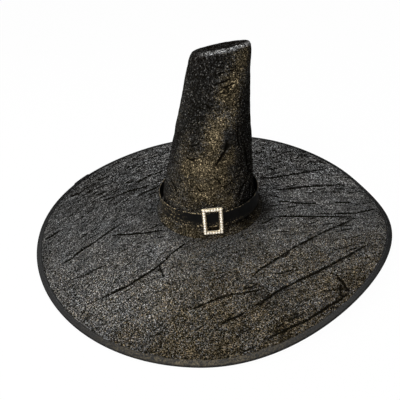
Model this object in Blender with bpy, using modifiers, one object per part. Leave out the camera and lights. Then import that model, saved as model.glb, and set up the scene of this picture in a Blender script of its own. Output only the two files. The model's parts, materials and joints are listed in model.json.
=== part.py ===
"""Costume witch hat: flat-topped leaning crown, wide curling brim, ribbon band and a stone-set slider buckle.

Metres, +Z up. The buckle faces -Y. The origin is on the table, under the middle of the brim.
Every cloth and board is turned as a plain round hat first. settle() then moves it to the photographed shape.
"""

import math

import bmesh
import bpy
from mathutils import Matrix, Vector

# Cloth and board thicknesses
CLOTH = 0.0008
BRIM_BOARD = 0.0018
CROWN_BOARD = 0.0010
LINING = 0.0004
SWEATBAND = 0.0006
TAPE = 0.0006
GAP = 0.0003

# Brim
BRIM_RADIUS = 0.327
BRIM_RISE = 0.015
BRIM_FLAT = 0.120
TAPE_WIDTH = 0.0085
FOOT_BEARINGS = (18, 114, 258)
FOOT_HALF = 6
RIM_LIFTS = (0.004, 0.012, 0.042)
WIRE_RADIUS = 0.0007
SLEEVE_WALL = 0.00035
SLEEVE_LENGTH = 0.016
SLEEVE_BEARING = 153

# Crown
CROWN_BASE_RADIUS = 0.092
TIP_RADIUS = 0.045
CROWN_TOP = 0.312
TIP_EDGE = 0.005
FLARE_HEIGHT = 0.018
FLARE_REACH = 0.012
CROWN_SHIFT = 0.004
LEAN = 0.033
LEAN_START = 0.062
LEAN_BEND = 0.015
TIP_RISE_RIGHT = 0.005
TIP_FALL_BACK = 0.0056
WAIST = 0.0036
SWEATBAND_HEIGHT = 0.032

# Ribbon band
RIBBON_STAND = 0.003
RIBBON_THICKNESS = 0.0006
RIBBON_WIDTH = 0.029
RIBBON_TILT = 3.5
RIBBON_LAP = 20
RIBBON_SEAT = 0.0008

# Buckle and stones
BUCKLE_BEARING = -89
BUCKLE_WIDTH = 0.036
BUCKLE_HEIGHT = 0.052
BUCKLE_BAR = 0.0072
BUCKLE_THICKNESS = 0.003
BUCKLE_CORNER = 0.003
BUCKLE_LEAN = 4.5
SLIDE_CLEAR = 0.0004
CLIP_THICKNESS = 0.0012
CLIP_WIDTH = 0.006
CLIP_INSET = 0.0008
STONES_ACROSS = 6
STONES_UP = 9
STONE_RADIUS = 0.00205
STONE_CLEAR = 0.00015
STONE_SEAT = 0.0010

# Facets
BRIM_STEPS = 60
CROWN_STEPS = 40
RIBBON_STEPS = 72
STONE_STEPS = 8

# Heights and offsets that follow from the sizes above
BRIM_STACK = 2 * CLOTH + BRIM_BOARD + 2 * GAP
RIM_UNDER = TAPE + GAP
BRIM_TOP = RIM_UNDER + BRIM_RISE + BRIM_STACK
BRIM_UNDER = BRIM_TOP - BRIM_STACK
TAPE_START = BRIM_RADIUS - TAPE_WIDTH
SLEEVE_RADIUS = WIRE_RADIUS + GAP + SLEEVE_WALL
WIRE_REACH = BRIM_RADIUS - TAPE - GAP - SLEEVE_RADIUS
BRIM_EDGE = WIRE_REACH - SLEEVE_RADIUS - GAP
SEAM_REACH = CROWN_BASE_RADIUS + FLARE_REACH
BOARD_OFFSET = CLOTH + GAP
LINING_OFFSET = BOARD_OFFSET + CROWN_BOARD + GAP
SWEATBAND_OFFSET = LINING_OFFSET + LINING + GAP
TIP_SEAM = TIP_RADIUS - TIP_EDGE
RIBBON_RADIUS = CROWN_BASE_RADIUS + RIBBON_STAND
RIBBON_IN = RIBBON_RADIUS - RIBBON_THICKNESS
BUCKLE_BACK = RIBBON_RADIUS + SLIDE_CLEAR


def clear_scene():
    for old in list(bpy.data.objects):
        bpy.data.objects.remove(old)


def collection(name):
    made = bpy.data.collections.new(name)
    bpy.context.scene.collection.children.link(made)
    return made


def material(name, colour, roughness, metallic=0.0):
    made = bpy.data.materials.new(name)
    made.use_nodes = True
    made.diffuse_color = (*colour, 1.0)
    shader = made.node_tree.nodes["Principled BSDF"]
    shader.inputs["Base Color"].default_value = (*colour, 1.0)
    shader.inputs["Roughness"].default_value = roughness
    shader.inputs["Metallic"].default_value = metallic
    return made


def share(value, start, end):
    return min(max((value - start) / (end - start), 0.0), 1.0)


def ease(part):
    return part * part * (3.0 - 2.0 * part)


def rim_lift(bearing):
    """Height of the rim over the table. It is zero along each foot and swells between two feet."""
    for index, lift in enumerate(RIM_LIFTS):
        start = FOOT_BEARINGS[index] + FOOT_HALF
        end = FOOT_BEARINGS[(index + 1) % len(FOOT_BEARINGS)] - FOOT_HALF
        span = (end - start) % 360
        along = (math.degrees(bearing) - start) % 360 / span
        if along < 1:
            return lift * math.sin(math.pi * along) ** 2
    return 0.0


def settle(point):
    """Moves a point of the plain turned hat to its place on the photographed hat."""
    bearing = math.atan2(point.y, point.x)
    out = share(math.hypot(point.x, point.y), BRIM_FLAT, BRIM_RADIUS)
    up = share(point.z, LEAN_START, CROWN_TOP)
    bend = LEAN_BEND / (CROWN_TOP - LEAN_START)
    lean = LEAN * (1 + bend) * up * up / (up + bend)
    waist = WAIST * math.sin(math.pi * up**1.6) ** 2 * (1 + math.cos(bearing)) / 2
    tip = up * (TIP_RISE_RIGHT * point.x - TIP_FALL_BACK * point.y) / TIP_RADIUS
    aside = CROWN_SHIFT * (1 - out) + lean - waist
    return Vector((point.x + aside, point.y, point.z + rim_lift(bearing) * out * out + tip))


def evaluated(body):
    graph = bpy.context.evaluated_depsgraph_get()
    return bpy.data.meshes.new_from_object(body.evaluated_get(graph))


def baked(helper, move=None):
    """The helper's mesh with its modifiers applied, welded and facing out. The helper is removed.

    A moved mesh is cut into triangles on the shorter diagonals, so that stacked layers bend on the same lines.
    """
    mesh = evaluated(helper)
    bpy.data.objects.remove(helper)
    work = bmesh.new()
    work.from_mesh(mesh)
    bmesh.ops.remove_doubles(work, verts=work.verts, dist=1e-6)
    for vertex in work.verts if move else ():
        vertex.co = move(vertex.co)
    if move:
        bmesh.ops.triangulate(work, faces=work.faces, quad_method="SHORT_EDGE")
    bmesh.ops.recalc_face_normals(work, faces=work.faces)
    work.to_mesh(mesh)
    work.free()
    return mesh


def add(name, mesh, look, parent=None, smooth=True):
    body = bpy.data.objects.new(name, mesh)
    mesh.name = name
    mesh.materials.clear()
    mesh.materials.append(look)
    if smooth:
        mesh.shade_smooth()
        mesh.set_sharp_from_angle(angle=math.radians(40))
    body.parent = parent
    PARTS.objects.link(body)
    return body


def turned(outline, steps, move=None, ring=True):
    """Mesh of an (r, z) outline turned about Z. A ring's outline is closed, a disc's starts and ends on the axis."""
    count = len(outline)
    edges = [(i, (i + 1) % count) for i in range(count if ring else count - 1)]
    mesh = bpy.data.meshes.new("outline")
    mesh.from_pydata([(r, 0.0, z) for r, z in outline], edges, [])
    helper = bpy.data.objects.new("turned", mesh)
    PARTS.objects.link(helper)
    screw = helper.modifiers.new("Screw", "SCREW")
    screw.steps = screw.render_steps = steps
    screw.use_merge_vertices = True
    screw.merge_threshold = 0.00001
    return baked(helper, move)


def curve(points, cyclic, flat, **settings):
    data = bpy.data.curves.new("path", "CURVE")
    data.dimensions = "2D" if flat else "3D"
    for name, value in settings.items():
        setattr(data, name, value)
    loops = points if isinstance(points[0], list) else [points]
    for loop in loops:
        spline = data.splines.new("POLY")
        spline.points.add(len(loop) - 1)
        for target, point in zip(spline.points, loop):
            target.co = (*point, *[0.0] * (3 - len(point)), 1.0)
        spline.use_cyclic_u = cyclic
    helper = bpy.data.objects.new("path", data)
    PARTS.objects.link(helper)
    return helper


def brim_under(reach):
    """Height of the plain brim's underside: level at the crown and at the rim, with an easy slope between."""
    return RIM_UNDER + BRIM_RISE * (1 - ease(share(reach, BRIM_FLAT, TAPE_START)))


def brim_layer(inner, low, high, samples=6):
    """Outline of a brim layer between two heights over the brim's underside. All layers bend at the same radii."""
    seam = SEAM_REACH + GAP
    reaches = [inner] if inner < SEAM_REACH else []
    reaches += [seam + (TAPE_START - seam) * i / (samples - 1) for i in range(samples)]
    reaches.append(BRIM_EDGE)
    top = [(reach, brim_under(reach) + high) for reach in reaches]
    bottom = [(reach, brim_under(reach) + low) for reach in reversed(reaches)]
    return top + bottom


def cone(z):
    """Radius of the crown's straight side."""
    return TIP_RADIUS + (CROWN_BASE_RADIUS - TIP_RADIUS) * (CROWN_TOP - z) / (CROWN_TOP - BRIM_TOP)


def flare(degrees):
    """Point (r, z) of the crown's flared foot: 0 where it leaves the straight side, 90 at the brim seam."""
    turn = math.radians(degrees)
    z = BRIM_TOP + FLARE_HEIGHT * (1 - math.sin(turn))
    return cone(z) + FLARE_REACH * (1 - math.cos(turn)), z


def band_height():
    """Height of the tilted ribbon's middle that lets its lowest edge just clear the flare behind the crown."""
    turn = math.radians(RIBBON_TILT)
    half = RIBBON_WIDTH / 2
    reach = RIBBON_IN * math.cos(turn) - half * math.sin(turn)
    seat = max(z for r, z in map(flare, range(91)) if r >= reach)
    return seat + RIBBON_SEAT + half * math.cos(turn) + RIBBON_IN * math.sin(turn)


def crown_side(foot):
    """Outside of the crown from its top seam down, straight to a foot at this height or flared to the brim seam."""
    points = []
    for degrees in (0, 30, 60):
        turn = math.radians(degrees)
        points.append((TIP_SEAM + TIP_EDGE * math.sin(turn), CROWN_TOP - TIP_EDGE * (1 - math.cos(turn))))
    high = CROWN_TOP - TIP_EDGE
    heights = [high + (LEAN_START - high) * i / 5 for i in range(6)]
    points += [(cone(z), z) for z in heights + [BRIM_TOP + FLARE_HEIGHT]]
    if foot is None:
        return points + [flare(degrees) for degrees in (25, 45, 60, 75, 90)]
    return points + [(cone(foot), foot)]


def inset(points, depth):
    """The points moved in along their normals. The first and last normals are upright or level, as at a seam."""
    moved = []
    for i, (r, z) in enumerate(points):
        before = points[max(i - 1, 0)]
        after = points[min(i + 1, len(points) - 1)]
        along = Vector((after[0] - before[0], after[1] - before[1])).normalized()
        level = i == 0 or (i == len(points) - 1 and along.x > 0.5)
        normal = Vector((0.0, 1.0)) if level else Vector((-along.y, along.x))
        moved.append((r - normal.x * depth, z - normal.y * depth))
    return moved


def crown_layer(depth, thickness, foot):
    side = crown_side(foot)
    return inset(side, depth) + inset(side, depth + thickness)[::-1]


def tip_layer(depth, thickness):
    """Outline of a disc that closes the crown's top, level with a crown layer."""
    high = CROWN_TOP - depth
    edge = TIP_SEAM - GAP
    return [(0.0, high), (edge, high), (edge, high - thickness), (0.0, high - thickness)]


def rounded(width, height, corner):
    """Outline of a rectangle with rounded corners, as three points a corner."""
    points = []
    for index, (sx, sy) in enumerate(((1, 1), (-1, 1), (-1, -1), (1, -1))):
        for part in (0, 45, 90):
            turn = math.radians(90 * index + part)
            x = sx * (width / 2 - corner) + corner * math.cos(turn)
            points.append((x, sy * (height / 2 - corner) + corner * math.sin(turn)))
    return points


clear_scene()
PARTS = collection("witch_hat")
CUTTERS = collection("cutters")
CUTTERS.hide_render = True

glitter_cloth = material("glitter_cloth", (0.055, 0.052, 0.047), 0.55)
glitter_brim = material("glitter_brim", (0.065, 0.063, 0.060), 0.55)
under_cloth = material("under_cloth", (0.030, 0.029, 0.028), 0.75)
brim_felt = material("brim_felt", (0.080, 0.080, 0.080), 0.95)
crown_felt = material("crown_felt", (0.085, 0.085, 0.085), 0.95)
black_lining = material("black_lining", (0.012, 0.012, 0.013), 0.40)
grosgrain = material("grosgrain", (0.010, 0.010, 0.010), 0.70)
satin_tape = material("satin_tape", (0.045, 0.044, 0.042), 0.38)
spring_wire = material("spring_wire", (0.55, 0.55, 0.56), 0.35, 1.0)
crimp_brass = material("crimp_brass", (0.70, 0.55, 0.28), 0.35, 1.0)
black_ribbon = material("black_ribbon", (0.008, 0.008, 0.008), 0.45)
champagne_metal = material("champagne_metal", (0.83, 0.72, 0.53), 0.22, 1.0)
bar_metal = material("bar_metal", (0.70, 0.62, 0.48), 0.35, 1.0)
crystal = material("crystal", (0.92, 0.88, 0.80), 0.05)

# Brim: cloth under, board, cloth over, and a tape folded round the edge with a wire inside the fold
board_low = CLOTH + GAP
board_high = board_low + BRIM_BOARD
under_start = cone(BRIM_UNDER) - LINING_OFFSET + GAP
layers = (
    ("brim_under_cover", under_start, 0.0, CLOTH, under_cloth),
    ("brim_stiffener", under_start, board_low, board_high, brim_felt),
    ("brim_top_cover", SEAM_REACH, board_high + GAP, BRIM_STACK, glitter_brim),
)
for name, start, low, high, look in layers:
    add(name, turned(brim_layer(start, low, high), BRIM_STEPS, settle), look)

fold_in = BRIM_RADIUS - TAPE
fold_turn = BRIM_EDGE
tape_half = BRIM_STACK / 2 + GAP
tape_middle = RIM_UNDER + BRIM_STACK / 2
fold_half = tape_half / 2
tape_outside = [
    (TAPE_START, tape_half + TAPE),
    (fold_turn, tape_half + TAPE),
    (BRIM_RADIUS, fold_half),
]
tape_inside = [(TAPE_START, tape_half), (fold_turn, tape_half), (fold_in, fold_half)]
outside = tape_outside + [(r, -z) for r, z in reversed(tape_outside)]
inside = tape_inside + [(r, -z) for r, z in reversed(tape_inside)]
tape_outline = [(r, z + tape_middle) for r, z in outside + inside[::-1]]
add("brim_binding", turned(tape_outline, BRIM_STEPS, settle), satin_tape)

# Rim wire: it follows the same facets as the brim, and its two ends meet inside a crimped sleeve
step = 360 / BRIM_STEPS
rim = []
for i in range(BRIM_STEPS):
    turn = math.radians(SLEEVE_BEARING + step * (i + 0.5))
    plain = Vector((WIRE_REACH * math.cos(turn), WIRE_REACH * math.sin(turn), tape_middle))
    rim.append(settle(plain))
join = (rim[-1] + rim[0]) / 2
along_rim = (rim[0] - rim[-1]).normalized()
path = [tuple(join + along_rim * GAP)] + [tuple(point) for point in rim] + [tuple(join - along_rim * GAP)]
wire = curve(path, False, False, bevel_depth=WIRE_RADIUS, bevel_resolution=1, use_fill_caps=True)
add("brim_wire", baked(wire), spring_wire)

half_sleeve = SLEEVE_LENGTH / 2
sleeve_in = SLEEVE_RADIUS - SLEEVE_WALL
sleeve_outline = [
    (sleeve_in, half_sleeve),
    (SLEEVE_RADIUS, half_sleeve),
    (SLEEVE_RADIUS, -half_sleeve),
    (sleeve_in, -half_sleeve),
]
sleeve = add("wire_sleeve", turned(sleeve_outline, 16), crimp_brass)
sleeve.location = join
sleeve.rotation_mode = "QUATERNION"
sleeve.rotation_quaternion = along_rim.to_track_quat("Z", "Y")

# Crown: a flared cloth, a board that stands on the brim's board and a lining, each closed by a disc at the top
board_foot = BRIM_UNDER + board_high + 2 * GAP
shells = (
    ("cover", 0.0, CLOTH, None, glitter_cloth),
    ("stiffener", BOARD_OFFSET, CROWN_BOARD, board_foot, crown_felt),
    ("lining", LINING_OFFSET, LINING, BRIM_UNDER, black_lining),
)
for name, depth, thickness, foot, look in shells:
    add("crown_" + name, turned(crown_layer(depth, thickness, foot), CROWN_STEPS, settle), look)
    add("tip_" + name, turned(tip_layer(depth, thickness), CROWN_STEPS, settle, ring=False), look)

# Sweatband: a straight strip round the inside of the opening
band_low = BRIM_UNDER + GAP
band_high = band_low + SWEATBAND_HEIGHT
sweat_out = [(cone(z) - SWEATBAND_OFFSET, z) for z in (band_high, band_low)]
sweat_in = [(r - SWEATBAND, z) for r, z in reversed(sweat_out)]
add("sweatband", turned(sweat_out + sweat_in, CROWN_STEPS, settle), grosgrain)

# Band axis: tilted so that the ribbon stands highest behind the buckle and sits on the crown's flare at the back
front = math.radians(BUCKLE_BEARING)
band_axis = bpy.data.objects.new("band_axis", None)
PARTS.objects.link(band_axis)
lean_axis = Vector((math.sin(front), -math.cos(front), 0.0))
tilt = Matrix.Rotation(math.radians(RIBBON_TILT), 4, lean_axis)
band_axis.matrix_world = Matrix.Translation((CROWN_SHIFT, 0.0, band_height())) @ tilt

# Ribbon: one straight strip round the crown, with its free end lapped over its start behind the crown
lap_rise = RIBBON_THICKNESS + GAP
middle = RIBBON_RADIUS - RIBBON_THICKNESS / 2
ribbon_path = []
start = BUCKLE_BEARING + 180 - RIBBON_LAP / 2
lap_steps = round(RIBBON_LAP * RIBBON_STEPS / 360)
for i in range(RIBBON_STEPS + lap_steps + 1):
    degrees = start + 360 * i / RIBBON_STEPS
    reach = middle + lap_rise * share(degrees, start + 350, start + 360)
    ribbon_path.append((reach * math.cos(math.radians(degrees)), reach * math.sin(math.radians(degrees))))
strip = curve(ribbon_path, False, True, extrude=RIBBON_WIDTH / 2, fill_mode="NONE")
solidify = strip.modifiers.new("Solidify", "SOLIDIFY")
solidify.thickness = RIBBON_THICKNESS
solidify.offset = 0.0
add("ribbon", baked(strip), black_ribbon, band_axis)

# Buckle axis: the ribbon's own axis, with local X pointing out through the buckle
buckle_axis = bpy.data.objects.new("buckle_axis", None)
PARTS.objects.link(buckle_axis)
buckle_axis.parent = band_axis
buckle_axis.rotation_euler = (0.0, 0.0, front)

# Buckle lean: tips the frame about the upper end of its bar, so that its foot stands out over the crown's flare
lean = math.radians(BUCKLE_LEAN)
bar_high = BUCKLE_HEIGHT / 2 - BUCKLE_BAR + CLIP_INSET + CLIP_THICKNESS
bar_low = bar_high - CLIP_THICKNESS
buckle_lean = bpy.data.objects.new("buckle_lean", None)
PARTS.objects.link(buckle_lean)
buckle_lean.parent = buckle_axis
buckle_lean.location = (BUCKLE_BACK, 0.0, bar_high)
buckle_lean.rotation_euler = (0.0, -lean, 0.0)

# Buckle frame: a rounded rectangle with a rounded window, softened edges and a seat for each stone
window = rounded(BUCKLE_WIDTH - 2 * BUCKLE_BAR, BUCKLE_HEIGHT - 2 * BUCKLE_BAR, BUCKLE_CORNER / 3)
outline = rounded(BUCKLE_WIDTH, BUCKLE_HEIGHT, BUCKLE_CORNER)
bevel = BUCKLE_THICKNESS / 6
plate = curve(
    [outline, window],
    True,
    True,
    fill_mode="BOTH",
    extrude=BUCKLE_THICKNESS / 2 - bevel,
    bevel_depth=bevel,
    bevel_resolution=0,
    offset=-bevel,
)
frame = add("buckle_frame", baked(plate), champagne_metal, buckle_lean)
frame.location = (BUCKLE_THICKNESS / 2, 0.0, -bar_high)
frame.rotation_euler = (math.pi / 2, 0.0, math.pi / 2)

across = (BUCKLE_WIDTH - BUCKLE_BAR) / STONES_ACROSS
upward = (BUCKLE_HEIGHT - BUCKLE_BAR) / STONES_UP
places = []
for i in range(STONES_ACROSS + 1):
    for j in range(STONES_UP + 1):
        if i in (0, STONES_ACROSS) or j in (0, STONES_UP):
            places.append(((i - STONES_ACROSS / 2) * across, (j - STONES_UP / 2) * upward))

seats = bmesh.new()
seat_radius = STONE_RADIUS + STONE_CLEAR
for x, y in places:
    where = Matrix.Translation((x, y, BUCKLE_THICKNESS / 2))
    bmesh.ops.create_cone(
        seats,
        cap_ends=True,
        segments=STONE_STEPS,
        radius1=seat_radius,
        radius2=seat_radius,
        depth=2 * STONE_SEAT,
        matrix=where,
    )
seat_mesh = bpy.data.meshes.new("stone_seats")
seats.to_mesh(seat_mesh)
seats.free()
cutter = bpy.data.objects.new("stone_seats", seat_mesh)
CUTTERS.objects.link(cutter)
cutter.parent = buckle_lean
cutter.location = frame.location
cutter.rotation_euler = frame.rotation_euler
cutter.hide_render = True
cutter.display_type = "WIRE"
seat_cut = frame.modifiers.new("Seats", "BOOLEAN")
seat_cut.object = cutter
seat_cut.operation = "DIFFERENCE"
seat_cut.solver = "EXACT"

# Stones: a table, a girdle and a cut-off foot, one stone in each seat
stone_low = STONE_CLEAR
stone_outline = [
    (0.0, stone_low + 0.95 * STONE_RADIUS),
    (0.55 * STONE_RADIUS, stone_low + 0.95 * STONE_RADIUS),
    (STONE_RADIUS, stone_low + 0.55 * STONE_RADIUS),
    (0.6 * STONE_RADIUS, stone_low),
    (0.0, stone_low),
]
stone_mesh = turned(stone_outline, STONE_STEPS, ring=False)
for number, (x, y) in enumerate(places, 1):
    stone = add(f"stone_{number:02d}", stone_mesh, crystal, buckle_lean, smooth=False)
    level = BUCKLE_THICKNESS / 2 - STONE_SEAT
    stone.matrix_local = frame.matrix_basis @ Matrix.Translation((x, y, level))

# Buckle bar: a flat staple behind the ribbon, soldered to the back of the leaning frame above and below it
bar_back = RIBBON_IN - SLIDE_CLEAR - CLIP_THICKNESS
bar_face = bar_back + CLIP_THICKNESS


def bar_end(height):
    return BUCKLE_BACK + (bar_high - height) * math.tan(lean) - GAP


upper = [(bar_end(bar_low), bar_low), (bar_end(bar_high), bar_high), (bar_back, bar_high)]
lower = [(bar_back, -bar_high), (bar_end(-bar_high), -bar_high), (bar_end(-bar_low), -bar_low)]
staple = upper + lower + [(bar_face, -bar_low), (bar_face, bar_low)]
bar = curve(staple, True, True, fill_mode="BOTH", extrude=CLIP_WIDTH / 2)
bar_body = add("buckle_bar", baked(bar), bar_metal, buckle_axis, smooth=False)
bar_body.rotation_euler = (math.pi / 2, 0.0, 0.0)
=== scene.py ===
# %% [markdown]
# # A crushed-velvet witch hat
# The hat is a costume piece: a flat-topped crown that leans to one side, a very wide brim that curls up
# at the front left, a loose ribbon and a slider buckle set with stones. Its boards, wire, ribbon band and
# buckle come in as a finished frame at their real size. This script dresses that frame: each cloth is
# made as a mesh of its own and laid where the frame's solid is, and every surface gets its finish.

# %% Frame
import json
import math

import bmesh
import bpy
import numpy as np
from mathutils import Matrix, Vector
from mathutils.bvhtree import BVHTree
from mathutils.interpolate import poly_3d_calc


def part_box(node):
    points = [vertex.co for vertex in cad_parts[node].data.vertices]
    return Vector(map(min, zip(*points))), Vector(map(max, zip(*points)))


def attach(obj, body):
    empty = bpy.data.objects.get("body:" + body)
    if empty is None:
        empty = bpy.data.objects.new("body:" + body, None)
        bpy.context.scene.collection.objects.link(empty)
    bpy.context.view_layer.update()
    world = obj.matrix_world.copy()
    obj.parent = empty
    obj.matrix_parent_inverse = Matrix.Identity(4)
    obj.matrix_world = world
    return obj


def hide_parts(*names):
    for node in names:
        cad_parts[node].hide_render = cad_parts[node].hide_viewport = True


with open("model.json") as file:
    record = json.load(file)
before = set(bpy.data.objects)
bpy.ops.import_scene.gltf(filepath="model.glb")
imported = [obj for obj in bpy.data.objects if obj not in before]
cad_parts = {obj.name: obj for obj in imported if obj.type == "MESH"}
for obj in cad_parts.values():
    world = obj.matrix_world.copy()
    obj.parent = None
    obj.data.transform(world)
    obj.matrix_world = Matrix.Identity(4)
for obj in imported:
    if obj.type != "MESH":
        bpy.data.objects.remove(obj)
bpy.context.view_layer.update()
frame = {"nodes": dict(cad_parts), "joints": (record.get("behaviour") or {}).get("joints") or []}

# %% [markdown]
# ## The camera
# A photograph is matched before anything else, because every later choice is judged through the camera.
# A camera could be placed by eye. Here its values come from fitting the rim, the crown's sides and the
# ribbon to the photograph, so the focal length is kept in the photograph's own pixels.

# %% Camera
IMAGE_SIDE = 400
FOCAL_PIXELS = 353.9
EYE = Vector((-0.0054, -0.5657, 0.4400))
LOOK_DOWN = math.radians(35.94)
LOOK_LEFT = math.radians(0.91)
CAMERA_ROLL = math.radians(-5.17)
scene = bpy.context.scene


def add_object(name, data):
    made = bpy.data.objects.new(name, data)
    scene.collection.objects.link(made)
    return made


camera = add_object("camera", bpy.data.cameras.new("camera"))
camera.data.lens = camera.data.sensor_width * FOCAL_PIXELS / IMAGE_SIDE
turn = Matrix.Rotation(LOOK_LEFT, 4, "Z")
pitch = Matrix.Rotation(math.pi / 2 - LOOK_DOWN, 4, "X")
roll = Matrix.Rotation(CAMERA_ROLL, 4, "Z")
camera_turn = turn @ pitch @ roll
camera.matrix_world = Matrix.Translation(EYE) @ camera_turn
scene.camera = camera
print("camera lens in mm:", round(camera.data.lens, 2))

# %% [markdown]
# ## Helpers for node trees
# Shader trees and geometry trees are both made of nodes and links. Written out in full, a tree is long
# and hard to follow. These helpers add a node, set it up and link it in one line, so that a tree reads
# like a recipe.

# %% Node helpers
def put(tree, kind, inputs=None, **settings):
    """Adds a node. An input, by name or number, takes a value or another node's output."""
    made = tree.nodes.new(kind)
    for name, value in settings.items():
        setattr(made, name, value)
    for name, value in (inputs or {}).items():
        if isinstance(value, bpy.types.NodeSocket):
            tree.links.new(value, made.inputs[name])
        else:
            made.inputs[name].default_value = value
    return made


def then(kind, inputs, **settings):
    """Adds a node to the tree that its first linked input belongs to. Gives the new node's outputs."""
    linked_inputs = (value for value in inputs.values() if isinstance(value, bpy.types.NodeSocket))
    return put(next(linked_inputs).id_data, kind, inputs, **settings).outputs


def calc(operation, *values):
    return then("ShaderNodeMath", dict(enumerate(values)), operation=operation)[0]


def product(result, *factors):
    """All the values multiplied, one after the other."""
    for factor in factors:
        result = calc("MULTIPLY", result, factor)
    return result


def vector_calc(operation, *values):
    return then("ShaderNodeVectorMath", dict(enumerate(values)), operation=operation)[0]


def scaled(vector, factor):
    return then("ShaderNodeVectorMath", {0: vector, "Scale": factor}, operation="SCALE")[0]


def vector_of(x=0.0, y=0.0, z=0.0):
    return then("ShaderNodeCombineXYZ", {0: x, 1: y, 2: z})[0]


def axes_of(vector):
    return then("ShaderNodeSeparateXYZ", {0: vector})


def fit(value, low, high, to_low=0.0, to_high=1.0):
    """The value's range from low to high, spread over another range and held at its ends."""
    return then("ShaderNodeMapRange", {0: value, 1: low, 2: high, 3: to_low, 4: to_high})[0]


def between(part, first, second):
    """A number between two others."""
    return then("ShaderNodeMix", {0: part, 2: first, 3: second})[0]


def mix(part, first, second):
    """A colour between two others."""
    return then("ShaderNodeMix", {0: part, 6: first, 7: second}, data_type="RGBA")[2]


def own_place(tree):
    """Where each point of a surface lies, in its object's own coordinates."""
    return put(tree, "ShaderNodeTexCoord").outputs["Object"]


# %% Colours, noise and groups
def grey(value):
    return (value, value, value, 1.0)


def noise(vector, scale, detail=2.0, roughness=0.5, distortion=0.0):
    inputs = {"Vector": vector, "Scale": scale, "Detail": detail}
    inputs |= {"Roughness": roughness, "Distortion": distortion}
    return then("ShaderNodeTexNoise", inputs)[0]


def new_group(name, kind, inputs, outputs):
    """An empty node group with named sockets, and its inputs as the outputs of their node."""
    tree = bpy.data.node_groups.new(name, kind)
    for socket, socket_kind, value in inputs:
        made = tree.interface.new_socket(socket, in_out="INPUT", socket_type="NodeSocket" + socket_kind)
        if value is not None:
            made.default_value = value
    for socket, socket_kind in outputs:
        tree.interface.new_socket(socket, in_out="OUTPUT", socket_type="NodeSocket" + socket_kind)
    return tree, tree.nodes.new("NodeGroupInput").outputs


def give(**values):
    """Links what a group puts out, which completes it."""
    tree = next(iter(values.values())).id_data
    results = tree.nodes.new("NodeGroupOutput").inputs
    for name, value in values.items():
        tree.links.new(value, results[name])
    print(tree.name, "has", len(tree.nodes), "nodes")


# %% [markdown]
# ## Floor and light
# The photograph is a cut-out on white, lit from the front left and from above. The floor is a pale plane
# that keeps the hat's shadow. What the camera and mirror-like surfaces see of the room is white, while the
# light that falls on the hat stays at a plain level, so that colours render about as they are written.

# %% Floor and light
ROOM_LIGHT, FLOOR_WHITENESS = 0.30, 0.98
FLOOR_REACH, FLOOR_GREY, FLOOR_ROUGHNESS = 14.0, 0.84, 0.9
LAMPS = {
    "key_lamp": ((-1.15, -1.20, 1.75), 0.7, 44.0),
    "top_lamp": ((0.25, 0.35, 2.10), 1.2, 14.0),
    "left_lamp": ((-1.90, -0.15, 1.00), 0.9, 7.0),
}
LAMP_AIM = Vector((0.0, 0.0, 0.12))

scene.view_settings.view_transform = "Standard"
world = bpy.data.worlds.new("room")
scene.world = world
world.use_nodes = True
sky = world.node_tree


def seen_directly(tree):
    """1 for what the camera sees, also through glass or in a mirror, and 0 for light that falls on things."""
    path = put(tree, "ShaderNodeLightPath").outputs
    mirrored = calc("MAXIMUM", path["Is Glossy Ray"], path["Is Transmission Ray"])
    return calc("MAXIMUM", path["Is Camera Ray"], mirrored)


def finish_of(name, **sockets):
    """A new material, its tree and its shader. The sockets' spaces are underscores here."""
    made = bpy.data.materials.new(name)
    made.use_nodes = True
    shader = made.node_tree.nodes["Principled BSDF"]
    for socket, value in sockets.items():
        shader.inputs[socket.replace("_", " ")].default_value = value
    return made, made.node_tree, shader


background = sky.nodes["Background"]
background.inputs["Color"].default_value = grey(1.0)
sky.links.new(fit(seen_directly(sky), 0.0, 1.0, ROOM_LIGHT, 1.0), background.inputs["Strength"])

floor_mesh = bpy.data.meshes.new("floor")
floor_corners = [(x * FLOOR_REACH, y * FLOOR_REACH, 0.0) for x, y in ((-1, -1), (1, -1), (1, 1), (-1, 1))]
floor_mesh.from_pydata(floor_corners, [], [(0, 1, 2, 3)])
floor = add_object("floor", floor_mesh)
paper, tree, matt = finish_of("white_paper", Base_Color=grey(FLOOR_GREY), Roughness=FLOOR_ROUGHNESS)
glow = put(tree, "ShaderNodeEmission", {"Color": grey(1.0), "Strength": 1.0})
glowing = product(seen_directly(tree), FLOOR_WHITENESS)
paper_mix = put(tree, "ShaderNodeMixShader", {0: glowing, 1: matt.outputs[0], 2: glow.outputs[0]})
tree.links.new(paper_mix.outputs[0], tree.nodes["Material Output"].inputs["Surface"])
floor_mesh.materials.append(paper)

for name, (spot, width, power) in LAMPS.items():
    lamp = add_object(name, bpy.data.lights.new(name, "AREA"))
    lamp.data.size = width
    lamp.data.energy = power
    lamp.location = spot
    lamp.rotation_euler = (LAMP_AIM - Vector(spot)).to_track_quat("-Z", "Y").to_euler()
print("lamps:", ", ".join(LAMPS))

# %% [markdown]
# ## The hat's own shape
# The cloths follow the boards under them, so they need the same shape as the frame: a plain round hat
# that one function then settles into its lean and its curl. The sizes below are the frame's own. A mesh
# could be copied from the frame instead, but its facets are wide, and cloth needs a fine, even grid.

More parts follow.
